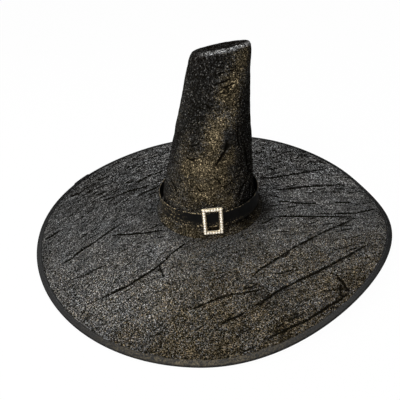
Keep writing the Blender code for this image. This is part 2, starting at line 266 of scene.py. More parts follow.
# %% Sizes and the settled shape
GAP = 0.0003
CLOTH, BRIM_BOARD, TAPE = 0.0008, 0.0018, 0.0006
BRIM_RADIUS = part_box("brim_binding")[1].x
BRIM_RISE, BRIM_FLAT, TAPE_WIDTH = 0.015, 0.120, 0.0085
FOOT_BEARINGS, FOOT_HALF, RIM_LIFTS = (18, 114, 258), 6, (0.004, 0.012, 0.042)
CROWN_BASE_RADIUS, TIP_RADIUS, CROWN_TOP, TIP_EDGE = 0.092, 0.045, 0.312, 0.005
FLARE_HEIGHT, FLARE_REACH = 0.018, 0.012
CROWN_SHIFT, LEAN, LEAN_START, LEAN_BEND = 0.004, 0.033, 0.062, 0.015
WAIST, WAIST_CURVE = 0.0036, 1.6
TIP_RISE_RIGHT, TIP_FALL_BACK = 0.005, 0.0056

BRIM_STACK = 2 * CLOTH + BRIM_BOARD + 2 * GAP
RIM_UNDER = TAPE + GAP
BRIM_UNDER = RIM_UNDER + BRIM_RISE
BRIM_TOP = BRIM_UNDER + BRIM_STACK
TAPE_START = BRIM_RADIUS - TAPE_WIDTH
BRIM_EDGE = 0.3231
SEAM_REACH = CROWN_BASE_RADIUS + FLARE_REACH
TIP_SEAM = TIP_RADIUS - TIP_EDGE


def share(value, start, end):
    return np.clip((value - start) / (end - start), 0.0, 1.0)


def ease(part):
    return part * part * (3.0 - 2.0 * part)


def rim_lift(bearing):
    """Height of the rim over the table: none along the three feet, and a swell between each two."""
    degrees = np.degrees(bearing)
    height = np.zeros_like(degrees)
    for index, lift in enumerate(RIM_LIFTS):
        start = FOOT_BEARINGS[index] + FOOT_HALF
        span = (FOOT_BEARINGS[(index + 1) % 3] - FOOT_HALF - start) % 360
        along = (degrees - start) % 360 / span
        height = np.where(along < 1, lift * np.sin(np.pi * np.minimum(along, 1)) ** 2, height)
    return height


def settle(points):
    """Moves points of the plain round hat, an array that ends in x, y, z, to the settled hat."""
    x, y, z = np.moveaxis(np.asarray(points, float), -1, 0)
    bearing = np.arctan2(y, x)
    out = share(np.hypot(x, y), BRIM_FLAT, BRIM_RADIUS)
    up = share(z, LEAN_START, CROWN_TOP)
    bend = LEAN_BEND / (CROWN_TOP - LEAN_START)
    lean = LEAN * (1 + bend) * up * up / (up + bend)
    waist = WAIST * np.sin(np.pi * up**WAIST_CURVE) ** 2 * (1 + np.cos(bearing)) / 2
    tip = up * (TIP_RISE_RIGHT * x - TIP_FALL_BACK * y) / TIP_RADIUS
    aside = CROWN_SHIFT * (1 - out) + lean - waist
    return np.stack([x + aside, y, z + rim_lift(bearing) * out * out + tip], axis=-1)


def brim_under(reach):
    return RIM_UNDER + BRIM_RISE * (1 - ease(share(reach, BRIM_FLAT, TAPE_START)))


def cone(z):
    """Radius of the crown's straight side."""
    return TIP_RADIUS + (CROWN_BASE_RADIUS - TIP_RADIUS) * (CROWN_TOP - z) / (CROWN_TOP - BRIM_TOP)


print("brim radius in mm:", round(1000 * BRIM_RADIUS, 1))

# %% [markdown]
# ## From rings to a mesh
# Nearly every cloth here is a shell round the hat's axis. Blender's Screw modifier could turn an outline,
# but these shells also need a cloth coordinate at each point, along and across the fabric, so that
# crinkles and weaves follow the cloth. So an outline is turned into rings of points, and the rings are
# skinned with quads. The signed volume tells whether the faces point outwards.

# %% Skinning rings
def outward(points, faces):
    """The faces, turned round if they enclose a negative volume."""
    a, b, c, d = (points[faces[:, i]] for i in range(4))
    volume = np.einsum("ij,ij->", a, np.cross(b, c)) + np.einsum("ij,ij->", a, np.cross(c, d))
    return faces if volume > 0 else faces[:, ::-1]


def store(mesh, name, values):
    """Keeps a number or a vector for each point of a mesh, as an attribute."""
    kind, field = ("FLOAT_VECTOR", "vector") if values.shape[2:] == (3,) else ("FLOAT", "value")
    mesh.attributes.new(name, kind, "POINT").data.foreach_set(field, values.astype(np.float32).ravel())


def skin(name, rings, closed=True, **attributes):
    """An object through rings of points, shaped (rings, around, 3).

    closed joins the last ring to the first. Otherwise the two open ends get a cap.
    """
    count, around = rings.shape[:2]
    last = count if closed else count - 1
    across, along = np.meshgrid(np.arange(last), np.arange(around), indexing="ij")
    next_across, next_along = (across + 1) % count, (along + 1) % around
    corner = [(across, along), (across, next_along), (next_across, next_along), (next_across, along)]
    faces = np.stack([(a * around + b).ravel() for a, b in corner], axis=1)
    points = rings.reshape(-1, 3)
    turned = outward(points, faces)
    polygons = turned.tolist()
    if not closed:
        ends = [list(range(around)), list(range((count - 1) * around, count * around))]
        flipped = turned is not faces
        polygons += [ends[0] if flipped else ends[0][::-1], ends[1][::-1] if flipped else ends[1]]
    mesh = bpy.data.meshes.new(name)
    mesh.from_pydata(points.tolist(), [], polygons)
    for attribute, values in attributes.items():
        store(mesh, attribute, np.broadcast_to(values, (count, around) + values.shape[2:]))
    mesh.shade_smooth()
    return add_object(name, mesh)


# %% Rings and dressing
def turned_rings(outline, bearings):
    """Rings of the plain hat through an (r, z) outline, one ring for each point."""
    r, z = np.asarray(outline, float).T[:, :, None]
    return np.stack([r * np.cos(bearings), r * np.sin(bearings), z + 0 * bearings], axis=-1)


def circle(count, start=0.0):
    return math.radians(start) + np.arange(count) * 2 * math.pi / count


def flat_cloth(width, length):
    """Cloth coordinates of a grid: metres along the fabric and metres across it."""
    return np.stack(np.broadcast_arrays(width, length, 0.0), axis=-1)


def triangles(body):
    return sum(len(polygon.vertices) - 2 for polygon in body.data.polygons)


def dress(piece, body, slot, *nodes):
    """The piece rides on a body and stands for these nodes. The slot is not used."""
    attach(piece, body)
    if nodes:
        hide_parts(*nodes)
    print(piece.name, "has", triangles(piece), "triangles")


# %% [markdown]
# ## Finishes that several pieces share
# Three effects come back on many pieces: the crushed nap of the velvet with its glitter, a plain weave,
# and the uneven polish of plated metal. Each is one shader group with named sockets, placed in a material
# with that piece's own values. The groups put out colours, masks and heights, and the shader itself stays in
# the material. The velvet is a crowd of small tufts, each lighter or darker than the next, with single
# bright sparks of glitter between them, which are bright flakes painted into the colour as glints. How light
# they are on the whole, with painted light and shade in it, how golden, and where a crease runs comes from
# attributes that each velvet piece carries. A crease's thin bottom gets painted shade and its crest a painted
# highlight, and the ripples are painted lighter on their ridges and darker in their valleys.

# %% Crushed velvet group
NAP_PATCH, HUE_PATCH, TUFTS = 30.0, 24.0, 1600.0
FINE_CLUMPS, COARSE_CLUMPS, COARSE_STRETCH = 1150.0, 760.0, (1.0, 0.5, 1.0)
CLUMP_CONTRAST, CLUMP_GAIN, CLUMP_FLOOR = 6.0, 6.65, 0.05
NAP_STREAK, NAP_DASH = (26.0, 240.0, 240.0), (17.0, 260.0, 260.0)
FINE_STREAKS, FINE_DASHES, COARSE_DASHES = 0.70, 0.75, 0.12
NOISE_SPAN, TUFT_LEVELS, PATCH_LEVELS = (0.3, 0.7), (0.3, 1.7), (0.72, 1.28)
STREAK_SPAN, STREAK_LEVELS, DASH_SPAN = (0.34, 0.66), (0.45, 1.55), (0.36, 0.43)
GRAIN = math.radians(26.0)

# The nap socket carries how light the pile is, with painted highlights and painted shade in it; gilt makes
# some of them golden.
velvet_sockets = [
    ("Pile", "Color", (0.0028, 0.0023, 0.0014, 1.0)),
    ("Silver", "Color", (1.0, 0.985, 0.965, 1.0)),
    ("Steel", "Color", (0.95, 0.975, 1.0, 1.0)),
    ("Gold", "Color", (1.0, 0.78, 0.46, 1.0)),
    ("Nap", "Float", 0.06),
    ("Gilt", "Float", 0.0),
    ("Coarse", "Float", 0.0),
    ("Sparks", "Float", 0.1),
    ("Ripple", "Float", 0.5),
    ("Crease", "Vector", None),
]
surface_results = [("Colour", "Color"), ("Roughness", "Float"), ("Height", "Float")]
velvet_results = surface_results + [("Metallic", "Float")]
velvet, given = new_group("crushed_velvet", "ShaderNodeTree", velvet_sockets, velvet_results)
place = own_place(velvet)


def chances(vector, scale):
    """Three random numbers for each small cell of cloth."""
    cells = then("ShaderNodeTexVoronoi", {"Vector": vector, "Scale": scale})
    return then("ShaderNodeSeparateColor", {0: cells["Color"]})


tuft = chances(place, TUFTS)
fine = chances(place, FINE_CLUMPS)
coarse = chances(vector_calc("MULTIPLY", place, COARSE_STRETCH), COARSE_CLUMPS)
clumps = [calc("POWER", part[0], CLUMP_CONTRAST) for part in (fine, coarse)]
clumped = calc("MULTIPLY_ADD", between(given["Coarse"], *clumps), CLUMP_GAIN, CLUMP_FLOOR)
speck = product(fit(tuft[0], 0.0, 1.0, *TUFT_LEVELS), clumped)
grain_turn = fit(axes_of(place)[0], -BRIM_RADIUS, BRIM_RADIUS, -2.0 * GRAIN, 0.0)
along_grain = put(velvet, "ShaderNodeVectorRotate", {"Vector": place, "Angle": grain_turn}).outputs[0]
patches = fit(noise(place, NAP_PATCH, 3.0, 0.55), *NOISE_SPAN, *PATCH_LEVELS)
streaked = noise(vector_calc("MULTIPLY", along_grain, NAP_STREAK), 1.0, 3.0, 0.6, 0.5)
streaks = fit(streaked, *STREAK_SPAN, *STREAK_LEVELS)
streaks = between(fit(given["Coarse"], 0.0, 1.0, FINE_STREAKS, 1.0), 1.0, streaks)
dashed = noise(vector_calc("MULTIPLY", along_grain, NAP_DASH), 1.0, 2.0, 0.5, 0.3)
dash_level = fit(given["Coarse"], 0.0, 1.0, FINE_DASHES, COARSE_DASHES)
dashes = fit(dashed, *DASH_SPAN, dash_level, 1.0)
hue = noise(place, HUE_PATCH, 3.0, 0.6)
print("velvet tufts in mm:", round(1000 / TUFTS, 2))

# %% Creases and glints in the velvet group
CREASE_THIN, CREASE_WIDE, DEEPEST = 0.0011, 0.0022, 2.0
CREASE_REACH, CREASE_FADE, CREASE_PATCH, CREASE_LEVELS = 0.007, 1.8, 95.0, (0.55, 1.35)
CREASE_SHADE, CREASE_DROP, FAINT_DEPTH, LINE_SHARPNESS = 0.98, 0.8, 0.4, 4.0
CREST_OFFSET, CREST_WIDTH, CREST_LIGHT = 0.0030, 0.0016, 0.3
RIPPLE_SPAN, RIPPLE_LEVELS = (0.1, 1.0), (0.82, 1.2)
SPARKS, SPARK_CONTRAST, SPARK_NAP, DARK_SPARKS, BRIGHTEST = 700.0, 22.0, 0.08, 0.08, 0.85
GILT_LEVELS, GOLD_CHANCE, GOLD_BLUR = (1.5, 0.5), 0.5, 0.15
BRIGHT_SPECK, HUE_SPAN = (0.1, 1.0), (0.35, 0.65)
GLINT_LIMIT, GLINT_METAL, NAP_ROUGHNESS, NAP_BUMPS = 0.98, 0.7, (0.62, 0.30), 900.0

signed, distance, depth = axes_of(given["Crease"])
uneven = fit(noise(place, CREASE_PATCH), *NOISE_SPAN, *CREASE_LEVELS)
widest = CREASE_THIN + DEEPEST * (CREASE_WIDE - CREASE_THIN)
crease_width = product(fit(depth, 0.0, DEEPEST, CREASE_THIN, widest), uneven)
near_crease = fit(distance, CREASE_REACH, CREASE_FADE * CREASE_REACH, 1.0, 0.0)


def bell(value, middle, width):
    """1 in the middle, falling off to nothing within about two widths."""
    steps = calc("DIVIDE", calc("SUBTRACT", value, middle), width)
    return calc("EXPONENT", product(steps, steps, -1.0))


# The crease's thin bottom is painted dark: painted shade, which clear takes out of the nap.
from_line = calc("POWER", calc("DIVIDE", distance, crease_width), LINE_SHARPNESS)
line = calc("EXPONENT", product(from_line, -1.0))
dark = product(line, fit(depth, 0.0, FAINT_DEPTH, 0.0, CREASE_SHADE))
clear = calc("SUBTRACT", 1.0, dark)
# The crest beside a crease gets a painted highlight.
crest_highlight = product(bell(signed, CREST_OFFSET, CREST_WIDTH), near_crease, depth)
light = calc("MULTIPLY_ADD", crest_highlight, CREST_LIGHT, 1.0)
# Ridges of the ripple are painted lighter and valleys darker: painted light and shade.
ripple_light_and_shade = fit(given["Ripple"], *RIPPLE_SPAN, *RIPPLE_LEVELS)
level = product(speck, patches, streaks, dashes, light, ripple_light_and_shade, clear)
# Sparks are bright glitter flakes, painted into the colour as glints.
spark = calc("POWER", chances(place, SPARKS)[0], SPARK_CONTRAST)
on_nap = fit(given["Nap"], 0.0, SPARK_NAP, DARK_SPARKS, 1.0)
spark = product(spark, given["Sparks"], clear, on_nap)
shine = calc("MULTIPLY_ADD", level, given["Nap"], spark)
shine = calc("MINIMUM", shine, BRIGHTEST)
gilded = product(given["Gilt"], fit(hue, *NOISE_SPAN, *GILT_LEVELS))
gold_chance = calc("MULTIPLY_ADD", gilded, GOLD_CHANCE, product(fine[1], -1.0))
bright_gold = fit(gold_chance, -GOLD_BLUR, GOLD_BLUR)
dark_gold = calc("MINIMUM", gilded, 1.0)
golden = between(fit(speck, *BRIGHT_SPECK), dark_gold, bright_gold)
silver = mix(fit(hue, *HUE_SPAN), given["Silver"], given["Steel"])
lit = scaled(mix(golden, silver, given["Gold"]), shine)
glint = product(calc("GREATER_THAN", tuft[2], GLINT_LIMIT), clear)
bumps = noise(place, NAP_BUMPS, 2.0, 0.6)
give(
    Colour=vector_calc("ADD", lit, given["Pile"]),
    Roughness=fit(glint, 0.0, 1.0, *NAP_ROUGHNESS),
    Metallic=product(glint, GLINT_METAL),
    Height=calc("SUBTRACT", bumps, product(line, CREASE_DROP)),
)

# %% Weave group
DUST_GRAINS, DUST_LEVELS, MOTTLE, MOTTLE_LEVELS = 620.0, (0.4, 1.4), 430.0, (0.70, 1.30)
AGE_PATCH, AGE_LEVELS, WEAVE_ROUGHNESS = 70.0, (0.45, 1.0), (0.42, 0.62)
weave_sockets = [
    ("Coordinate", "Vector", None),
    ("Threads", "Float", 900.0),
    ("Dark", "Color", grey(0.01)),
    ("Light", "Color", grey(0.05)),
    ("Rib", "Float", 0.0),
    ("Shine", "Float", 0.0),
    ("Dust", "Float", 0.0),
    ("Sparse", "Float", 12.0),
    ("Dust Colour", "Color", (0.46, 0.37, 0.22, 1.0)),
]
weave, given = new_group("woven_threads", "ShaderNodeTree", weave_sockets, surface_results)
axes = axes_of(scaled(given["Coordinate"], given["Threads"]))
warp = calc("SINE", axes[0])
weft = calc("SINE", axes[1])
thread = fit(product(warp, weft), -1.0, 1.0)
blend = between(given["Rib"], thread, fit(warp, -1.0, 1.0))
place = own_place(weave)
age = noise(place, AGE_PATCH, 4.0, 0.6)
tone = product(blend, fit(age, *NOISE_SPAN, *AGE_LEVELS))
mottled = fit(noise(place, MOTTLE), *NOISE_SPAN, *MOTTLE_LEVELS)
# Shine lightens the colour in mottled patches: a painted sheen.
tone = calc("MAXIMUM", tone, product(given["Shine"], mottled))
grains = chances(place, DUST_GRAINS)
dusted = calc("POWER", grains[0], given["Sparse"])
dusted = product(dusted, given["Dust"], fit(age, *NOISE_SPAN, *DUST_LEVELS))
dusted = calc("MINIMUM", dusted, 1.0)
woven = mix(tone, given["Dark"], given["Light"])
give(
    Colour=mix(dusted, woven, given["Dust Colour"]),
    Roughness=fit(age, *NOISE_SPAN, *WEAVE_ROUGHNESS),
    Height=blend,
)

# %% Plated metal group
TARNISH, TARNISH_SPAN, METAL_ROUGHNESS = 260.0, (0.42, 0.72), (0.16, 0.42)
SCRATCHES = (300.0, 300.0, 3000.0)
metal_sockets = [("Bright", "Color", (0.83, 0.72, 0.53, 1.0)), ("Dull", "Color", (0.45, 0.36, 0.22, 1.0))]
plating, given = new_group("worn_plating", "ShaderNodeTree", metal_sockets, surface_results)
place = own_place(plating)
tarnish = fit(noise(place, TARNISH, 4.0, 0.65), *TARNISH_SPAN)
give(
    Colour=mix(tarnish, given["Bright"], given["Dull"]),
    Roughness=fit(tarnish, 0.0, 1.0, *METAL_ROUGHNESS),
    Height=noise(vector_calc("MULTIPLY", place, SCRATCHES), 1.0, 2.0, 0.5),
)

# %% Materials from the groups
VELVET_BUMP, WEAVE_BUMP_DEPTH, PLATING_BUMP = (0.5, 0.0005), 0.0002, (0.15, 0.0002)


def attribute(tree, name, output="Fac"):
    return put(tree, "ShaderNodeAttribute", attribute_name=name).outputs[output]


def wear(tree, shader, group, inputs, strength, distance):
    """Places a group and feeds its results to the shader. Its height goes through a bump."""
    results = put(tree, "ShaderNodeGroup", inputs, node_tree=group).outputs
    tree.links.new(results["Colour"], shader.inputs["Base Color"])
    tree.links.new(results["Roughness"], shader.inputs["Roughness"])
    if "Metallic" in results:
        tree.links.new(results["Metallic"], shader.inputs["Metallic"])
    bump = {"Strength": strength, "Distance": distance, "Height": results["Height"]}
    tree.links.new(put(tree, "ShaderNodeBump", bump).outputs[0], shader.inputs["Normal"])


def velvet_finish(name, **values):
    """The velvet, with each piece's own attributes: nap with painted light and shade in it, gilding,
    coarseness, ripple and crease.
    """
    made, tree, shader = finish_of(name, Specular_IOR_Level=0.0)
    inputs = {socket: attribute(tree, socket.lower()) for socket in ("Nap", "Gilt", "Coarse", "Ripple")}
    inputs["Crease"] = attribute(tree, "crease", "Vector")
    wear(tree, shader, velvet, inputs | values, *VELVET_BUMP)
    return made


def woven_finish(name, dark, light, threads, rib=0.0, strength=0.4, sparse=12.0, **sockets):
    """A weave between two greys, with each piece's own cloth, painted shine and dust attributes."""
    made, tree, shader = finish_of(name, **sockets)
    inputs = {"Dark": grey(dark), "Light": grey(light), "Threads": threads, "Rib": rib, "Sparse": sparse}
    inputs |= {socket: attribute(tree, socket.lower()) for socket in ("Shine", "Dust")}
    inputs["Coordinate"] = attribute(tree, "cloth", "Vector")
    wear(tree, shader, weave, inputs, strength, WEAVE_BUMP_DEPTH)
    return made


def metal_finish(name, bright, dull):
    made, tree, shader = finish_of(name, Metallic=1.0)
    wear(tree, shader, plating, {"Bright": bright, "Dull": dull}, *PLATING_BUMP)
    return made


# %% Materials for the cloths and the buckle
brim_velvet_look = velvet_finish("crushed_velvet_brim", Sparks=0.35)
crown_colours = {"Pile": (0.0022, 0.0018, 0.0011, 1.0), "Gold": (1.0, 0.80, 0.48, 1.0)}
crown_velvet_look = velvet_finish("crushed_velvet_crown", Sparks=0.85, **crown_colours)
tape_look = woven_finish("satin_binding", 0.002, 0.038, 5200.0, 0.6, 0.25, 1.5, Specular_IOR_Level=0.0)
facing_look = woven_finish("plain_facing", 0.012, 0.050, 3600.0)
lining_look = woven_finish("black_satin_lining", 0.004, 0.022, 5200.0, 0.3, 0.2, Sheen_Weight=0.1)
sweatband_look = woven_finish("grosgrain", 0.004, 0.022, 3800.0, 1.0, 0.8)
ribbon_look = woven_finish("black_satin_ribbon", 0.002, 0.006, 4200.0, 0.8, 0.3, Specular_IOR_Level=0.12)
buckle_look = metal_finish("champagne_plating", (0.97, 0.88, 0.70, 1.0), (0.50, 0.40, 0.26, 1.0))
print("materials:", len(bpy.data.materials))

# %% [markdown]
# ## Crushing the velvet
# Velvet that was pressed while wet keeps flattened streaks, small ridges along its grain and hard creases.
# They could be sculpted by hand, or pushed out with a displacement texture. Here a Geometry Nodes tree does
# it, because the same rule then serves the brim and the crown: ridges come from a noise that is stretched
# along the grain, and each hard crease is a drawn line that the cloth dips into and rises beside. The tree
# also stores the distance to the nearest crease and the ripple, so that the material can paint the crease's
# thin bottom dark as painted shade and the ripples' ridges lighter as painted light.

# %% Crush tree
crush_sockets = [
    ("Geometry", "Geometry", None),
    ("Crease Lines", "Object", None),
    ("Grain Angle", "Float", GRAIN),
    ("Ridge Spacing", "Float", 0.012),
    ("Ridge Stretch", "Float", 4.0),
    ("Ridge Height", "Float", 0.0010),
    ("Fold Height", "Float", 0.0018),
    ("Groove Depth", "Float", 0.0012),
    ("Puff", "Float", 0.0006),
    ("Seed", "Float", 0.0),
    ("Material", "Material", None),
]
RIDGE_SCALE, RIDGE_SPAN, RIDGE_SHARPNESS = 0.55, (0.2, 0.8), 2.2
FINE_SCALE, FINE_RIDGES = 1.6, 0.45
CALM_PATCH, CALM_SPAN, CALM_LEVELS = 14.0, (0.35, 0.65), (0.35, 1.0)
GEOMETRY = [("Geometry", "Geometry")]
crush, given = new_group("crush_cloth", "GeometryNodeTree", crush_sockets, GEOMETRY)


def stored_value(name, kind):
    return put(crush, "GeometryNodeInputNamedAttribute", {"Name": name}, data_type=kind).outputs[0]


cloth, hold = stored_value("cloth", "FLOAT_VECTOR"), stored_value("hold", "FLOAT")
frequency = calc("DIVIDE", 1.0, given["Ridge Spacing"])
slow = calc("DIVIDE", frequency, given["Ridge Stretch"])
turn_back = product(given["Grain Angle"], -1.0)
turned_cloth = put(crush, "ShaderNodeVectorRotate", {"Vector": cloth, "Angle": turn_back}).outputs[0]
grained = vector_calc("MULTIPLY", turned_cloth, vector_of(slow, frequency, frequency))
grained = vector_calc("ADD", grained, vector_of(z=given["Seed"]))
ripple_noise = noise(grained, RIDGE_SCALE, 2.0, 0.5, 0.7)
fine_noise = noise(grained, FINE_SCALE, 2.0, 0.5, 0.3)
sharp = calc("ABSOLUTE", fit(ripple_noise, *RIDGE_SPAN, -1.0, 1.0))
ridge = calc("POWER", calc("SUBTRACT", 1.0, sharp), RIDGE_SHARPNESS)
patchy = fit(noise(cloth, CALM_PATCH), *CALM_SPAN, *CALM_LEVELS)
ripple = product(calc("MULTIPLY_ADD", fine_noise, FINE_RIDGES, ridge), patchy)

# %% Creases in the crush tree
FOLD_OFFSET, FOLD_WIDTH, GROOVE_WIDTH = 0.0042, 0.0046, 0.0018
LIP_OFFSET, LIP_WIDTH, LIP_HEIGHT = -0.0036, 0.0026, 0.5
lines = put(crush, "GeometryNodeObjectInfo", {"Object": given["Crease Lines"]}).outputs["Geometry"]
nearest = put(crush, "GeometryNodeProximity", {0: lines, "Sample Position": cloth}, target_element="EDGES")
closest = put(crush, "GeometryNodeSampleNearest", {"Geometry": lines, "Sample Position": cloth}).outputs[0]


def at_crease(name, kind):
    """What the nearest point of a crease line holds."""
    inputs = {"Geometry": lines, "Value": stored_value(name, kind), "Index": closest}
    return put(crush, "GeometryNodeSampleIndex", inputs, data_type=kind).outputs[0]


distance = nearest.outputs["Distance"]
away = vector_calc("SUBTRACT", cloth, nearest.outputs["Position"])
turned_side = vector_calc("CROSS_PRODUCT", at_crease("along", "FLOAT_VECTOR"), away)
signed = product(distance, calc("SIGN", axes_of(turned_side)[2]))
depth = at_crease("depth", "FLOAT")
lip = product(bell(signed, LIP_OFFSET, LIP_WIDTH), LIP_HEIGHT)
fold = calc("MAXIMUM", bell(signed, FOLD_OFFSET, FOLD_WIDTH), lip)
fold = product(fold, given["Fold Height"])
groove = product(bell(signed, 0.0, GROOVE_WIDTH), given["Groove Depth"])
height = calc("MULTIPLY_ADD", ripple, given["Ridge Height"], given["Puff"])
firm = calc("MINIMUM", depth, 1.0)
height = calc("MULTIPLY_ADD", calc("SUBTRACT", fold, groove), firm, height)
normal = put(crush, "GeometryNodeInputNormal").outputs[0]
offset = scaled(normal, product(height, hold))
moved = put(crush, "GeometryNodeSetPosition", {"Geometry": given["Geometry"], "Offset": offset}).outputs[0]
# The crease and the ripple are stored for the material's painted shade and painted light.
mark = vector_of(signed, distance, product(depth, hold))
for name, kind, value in (("crease", "FLOAT_VECTOR", mark), ("ripple", "FLOAT", ripple)):
    inputs = {"Geometry": moved, "Name": name, "Value": value}
    moved = put(crush, "GeometryNodeStoreNamedAttribute", inputs, data_type=kind).outputs[0]


def end_tree(given, geometry):
    """Ends a geometry tree: instances become real, and all of it gets the material."""
    whole = then("GeometryNodeRealizeInstances", {0: geometry})[0]
    give(Geometry=then("GeometryNodeSetMaterial", {"Geometry": whole, "Material": given["Material"]})[0])


end_tree(given, moved)


# %% Running a tree
def apply_tree(body, tree, **inputs):
    """Runs a geometry tree on an object and keeps its result as the object's plain mesh."""
    modifier = body.modifiers.new(tree.name, "NODES")
    modifier.node_group = tree
    identifiers = {item.name: item.identifier for item in tree.interface.items_tree if item.in_out == "INPUT"}
    for name, value in inputs.items():
        modifier[identifiers[name.replace("_", " ")]] = value
    bpy.context.view_layer.update()
    graph = bpy.context.evaluated_depsgraph_get()
    result = bpy.data.meshes.new_from_object(body.evaluated_get(graph))
    body.modifiers.clear()
    old = body.data
    body.data = result
    bpy.data.meshes.remove(old)
    result.name = body.name
    return body


def linked(name, points, edges=()):
    """A new object of loose points, or of points joined by edges."""
    mesh = bpy.data.meshes.new(name)
    mesh.from_pydata([tuple(point) for point in points], list(edges), [])
    return add_object(name, mesh)


# %% [markdown]
# ## Drawing creases
# A crease could be guessed at random, but the strong ones are what makes this hat known. They are drawn over
# the photograph, a few pixels for each, and the camera's sight lines carry them on to the cloth, where
# they become lines in the flat fabric. The short dents between them come from a seeded random draw.

# %% Crease lines
CREASE_END, END_DEPTH = 0.15, 0.3
DENT_TURN, DENT_BOW = 0.16, 0.12


def smooth_line(points, steps=8):
    """A smooth curve through a few points."""
    drawn = np.asarray(points, float)
    padded = np.vstack([2 * drawn[0] - drawn[1], drawn, 2 * drawn[-1] - drawn[-2]])
    line = []
    for p0, p1, p2, p3 in zip(padded, padded[1:], padded[2:], padded[3:]):
        for t in np.arange(steps) / steps:
            bend = (2 * p0 - 5 * p1 + 4 * p2 - p3) * t * t + (3 * p1 - p0 - 3 * p2 + p3) * t**3
            line.append(0.5 * (2 * p1 + (p2 - p0) * t + bend))
    return np.array(line + [drawn[-1]])


def crease_object(name, creases):
    """A wire object with one smooth line for each (depth, points), flat in the cloth's own coordinates."""
    points, edges, along, depths = [], [], [], []
    for depth, drawn in creases:
        line = smooth_line(drawn)
        start = len(points)
        points += [(x, y, 0.0) for x, y in line]
        edges += [(start + i, start + i + 1) for i in range(len(line) - 1)]
        steps = np.gradient(line, axis=0)
        steps /= np.linalg.norm(steps, axis=1)[:, None]
        along += [(x, y, 0.0) for x, y in steps]
        part = np.linspace(0.0, 1.0, len(line))
        inwards = ease(share(np.minimum(part, 1 - part), 0.0, CREASE_END))
        depths += (depth * (END_DEPTH + (1 - END_DEPTH) * inwards)).tolist()
    made = linked(name, points, edges)
    made.data.attributes.new("along", "FLOAT_VECTOR", "POINT").data.foreach_set("vector", np.ravel(along))
    made.data.attributes.new("depth", "FLOAT", "POINT").data.foreach_set("value", depths)
    print(name, "holds", len(creases), "creases")
    return made


# %% Creases from the photograph
def on_cloth(body, creases):
    """Creases in pixels of the photograph, carried along the camera's sight lines on to a piece's cloth."""
    mesh = body.data
    corners = [vertex.co for vertex in mesh.vertices]
    faces = [tuple(polygon.vertices) for polygon in mesh.polygons]
    surface = BVHTree.FromPolygons(corners, faces)
    flat = mesh.attributes["cloth"].data
    middle = IMAGE_SIDE / 2
    carried = []
    for depth, pixels in creases:
        points = []
        for x, y in pixels:
            sight = camera_turn.to_3x3() @ Vector((x - middle, middle - y, -FOCAL_PIXELS))
            spot, _, face, _ = surface.ray_cast(EYE, sight.normalized())
            if spot is not None:
                weights = poly_3d_calc([corners[i] for i in faces[face]], spot)
                points.append(sum((w * flat[i].vector for w, i in zip(weights, faces[face])), Vector())[:2])
        if len(points) > 1:
            carried.append((depth, points))
    return carried


# %% Random dents
def dents(spot, angle, count, seed, length, depth):
    """Short random creases. spot draws a place, angle gives the grain there."""
    draw = np.random.default_rng(seed)
    made = []
    for _ in range(count):
        middle = spot(draw)
        turn = angle(middle) + draw.normal(0.0, DENT_TURN)
        step = 0.5 * draw.uniform(*length) * np.array([math.cos(turn), math.sin(turn)])
        bow = DENT_BOW * draw.normal() * np.array([-step[1], step[0]])
        made.append((draw.uniform(*depth), [middle - step, middle + bow, middle + step]))
    return made


def crush_cloth(piece, creases, look, **settings):
    """Crushes a piece along these creases. Their lines aren't needed after that."""
    lines = crease_object(piece.name + "_creases", creases)
    apply_tree(piece, crush, Crease_Lines=lines, Material=look, **settings)
    bpy.data.objects.remove(lines)
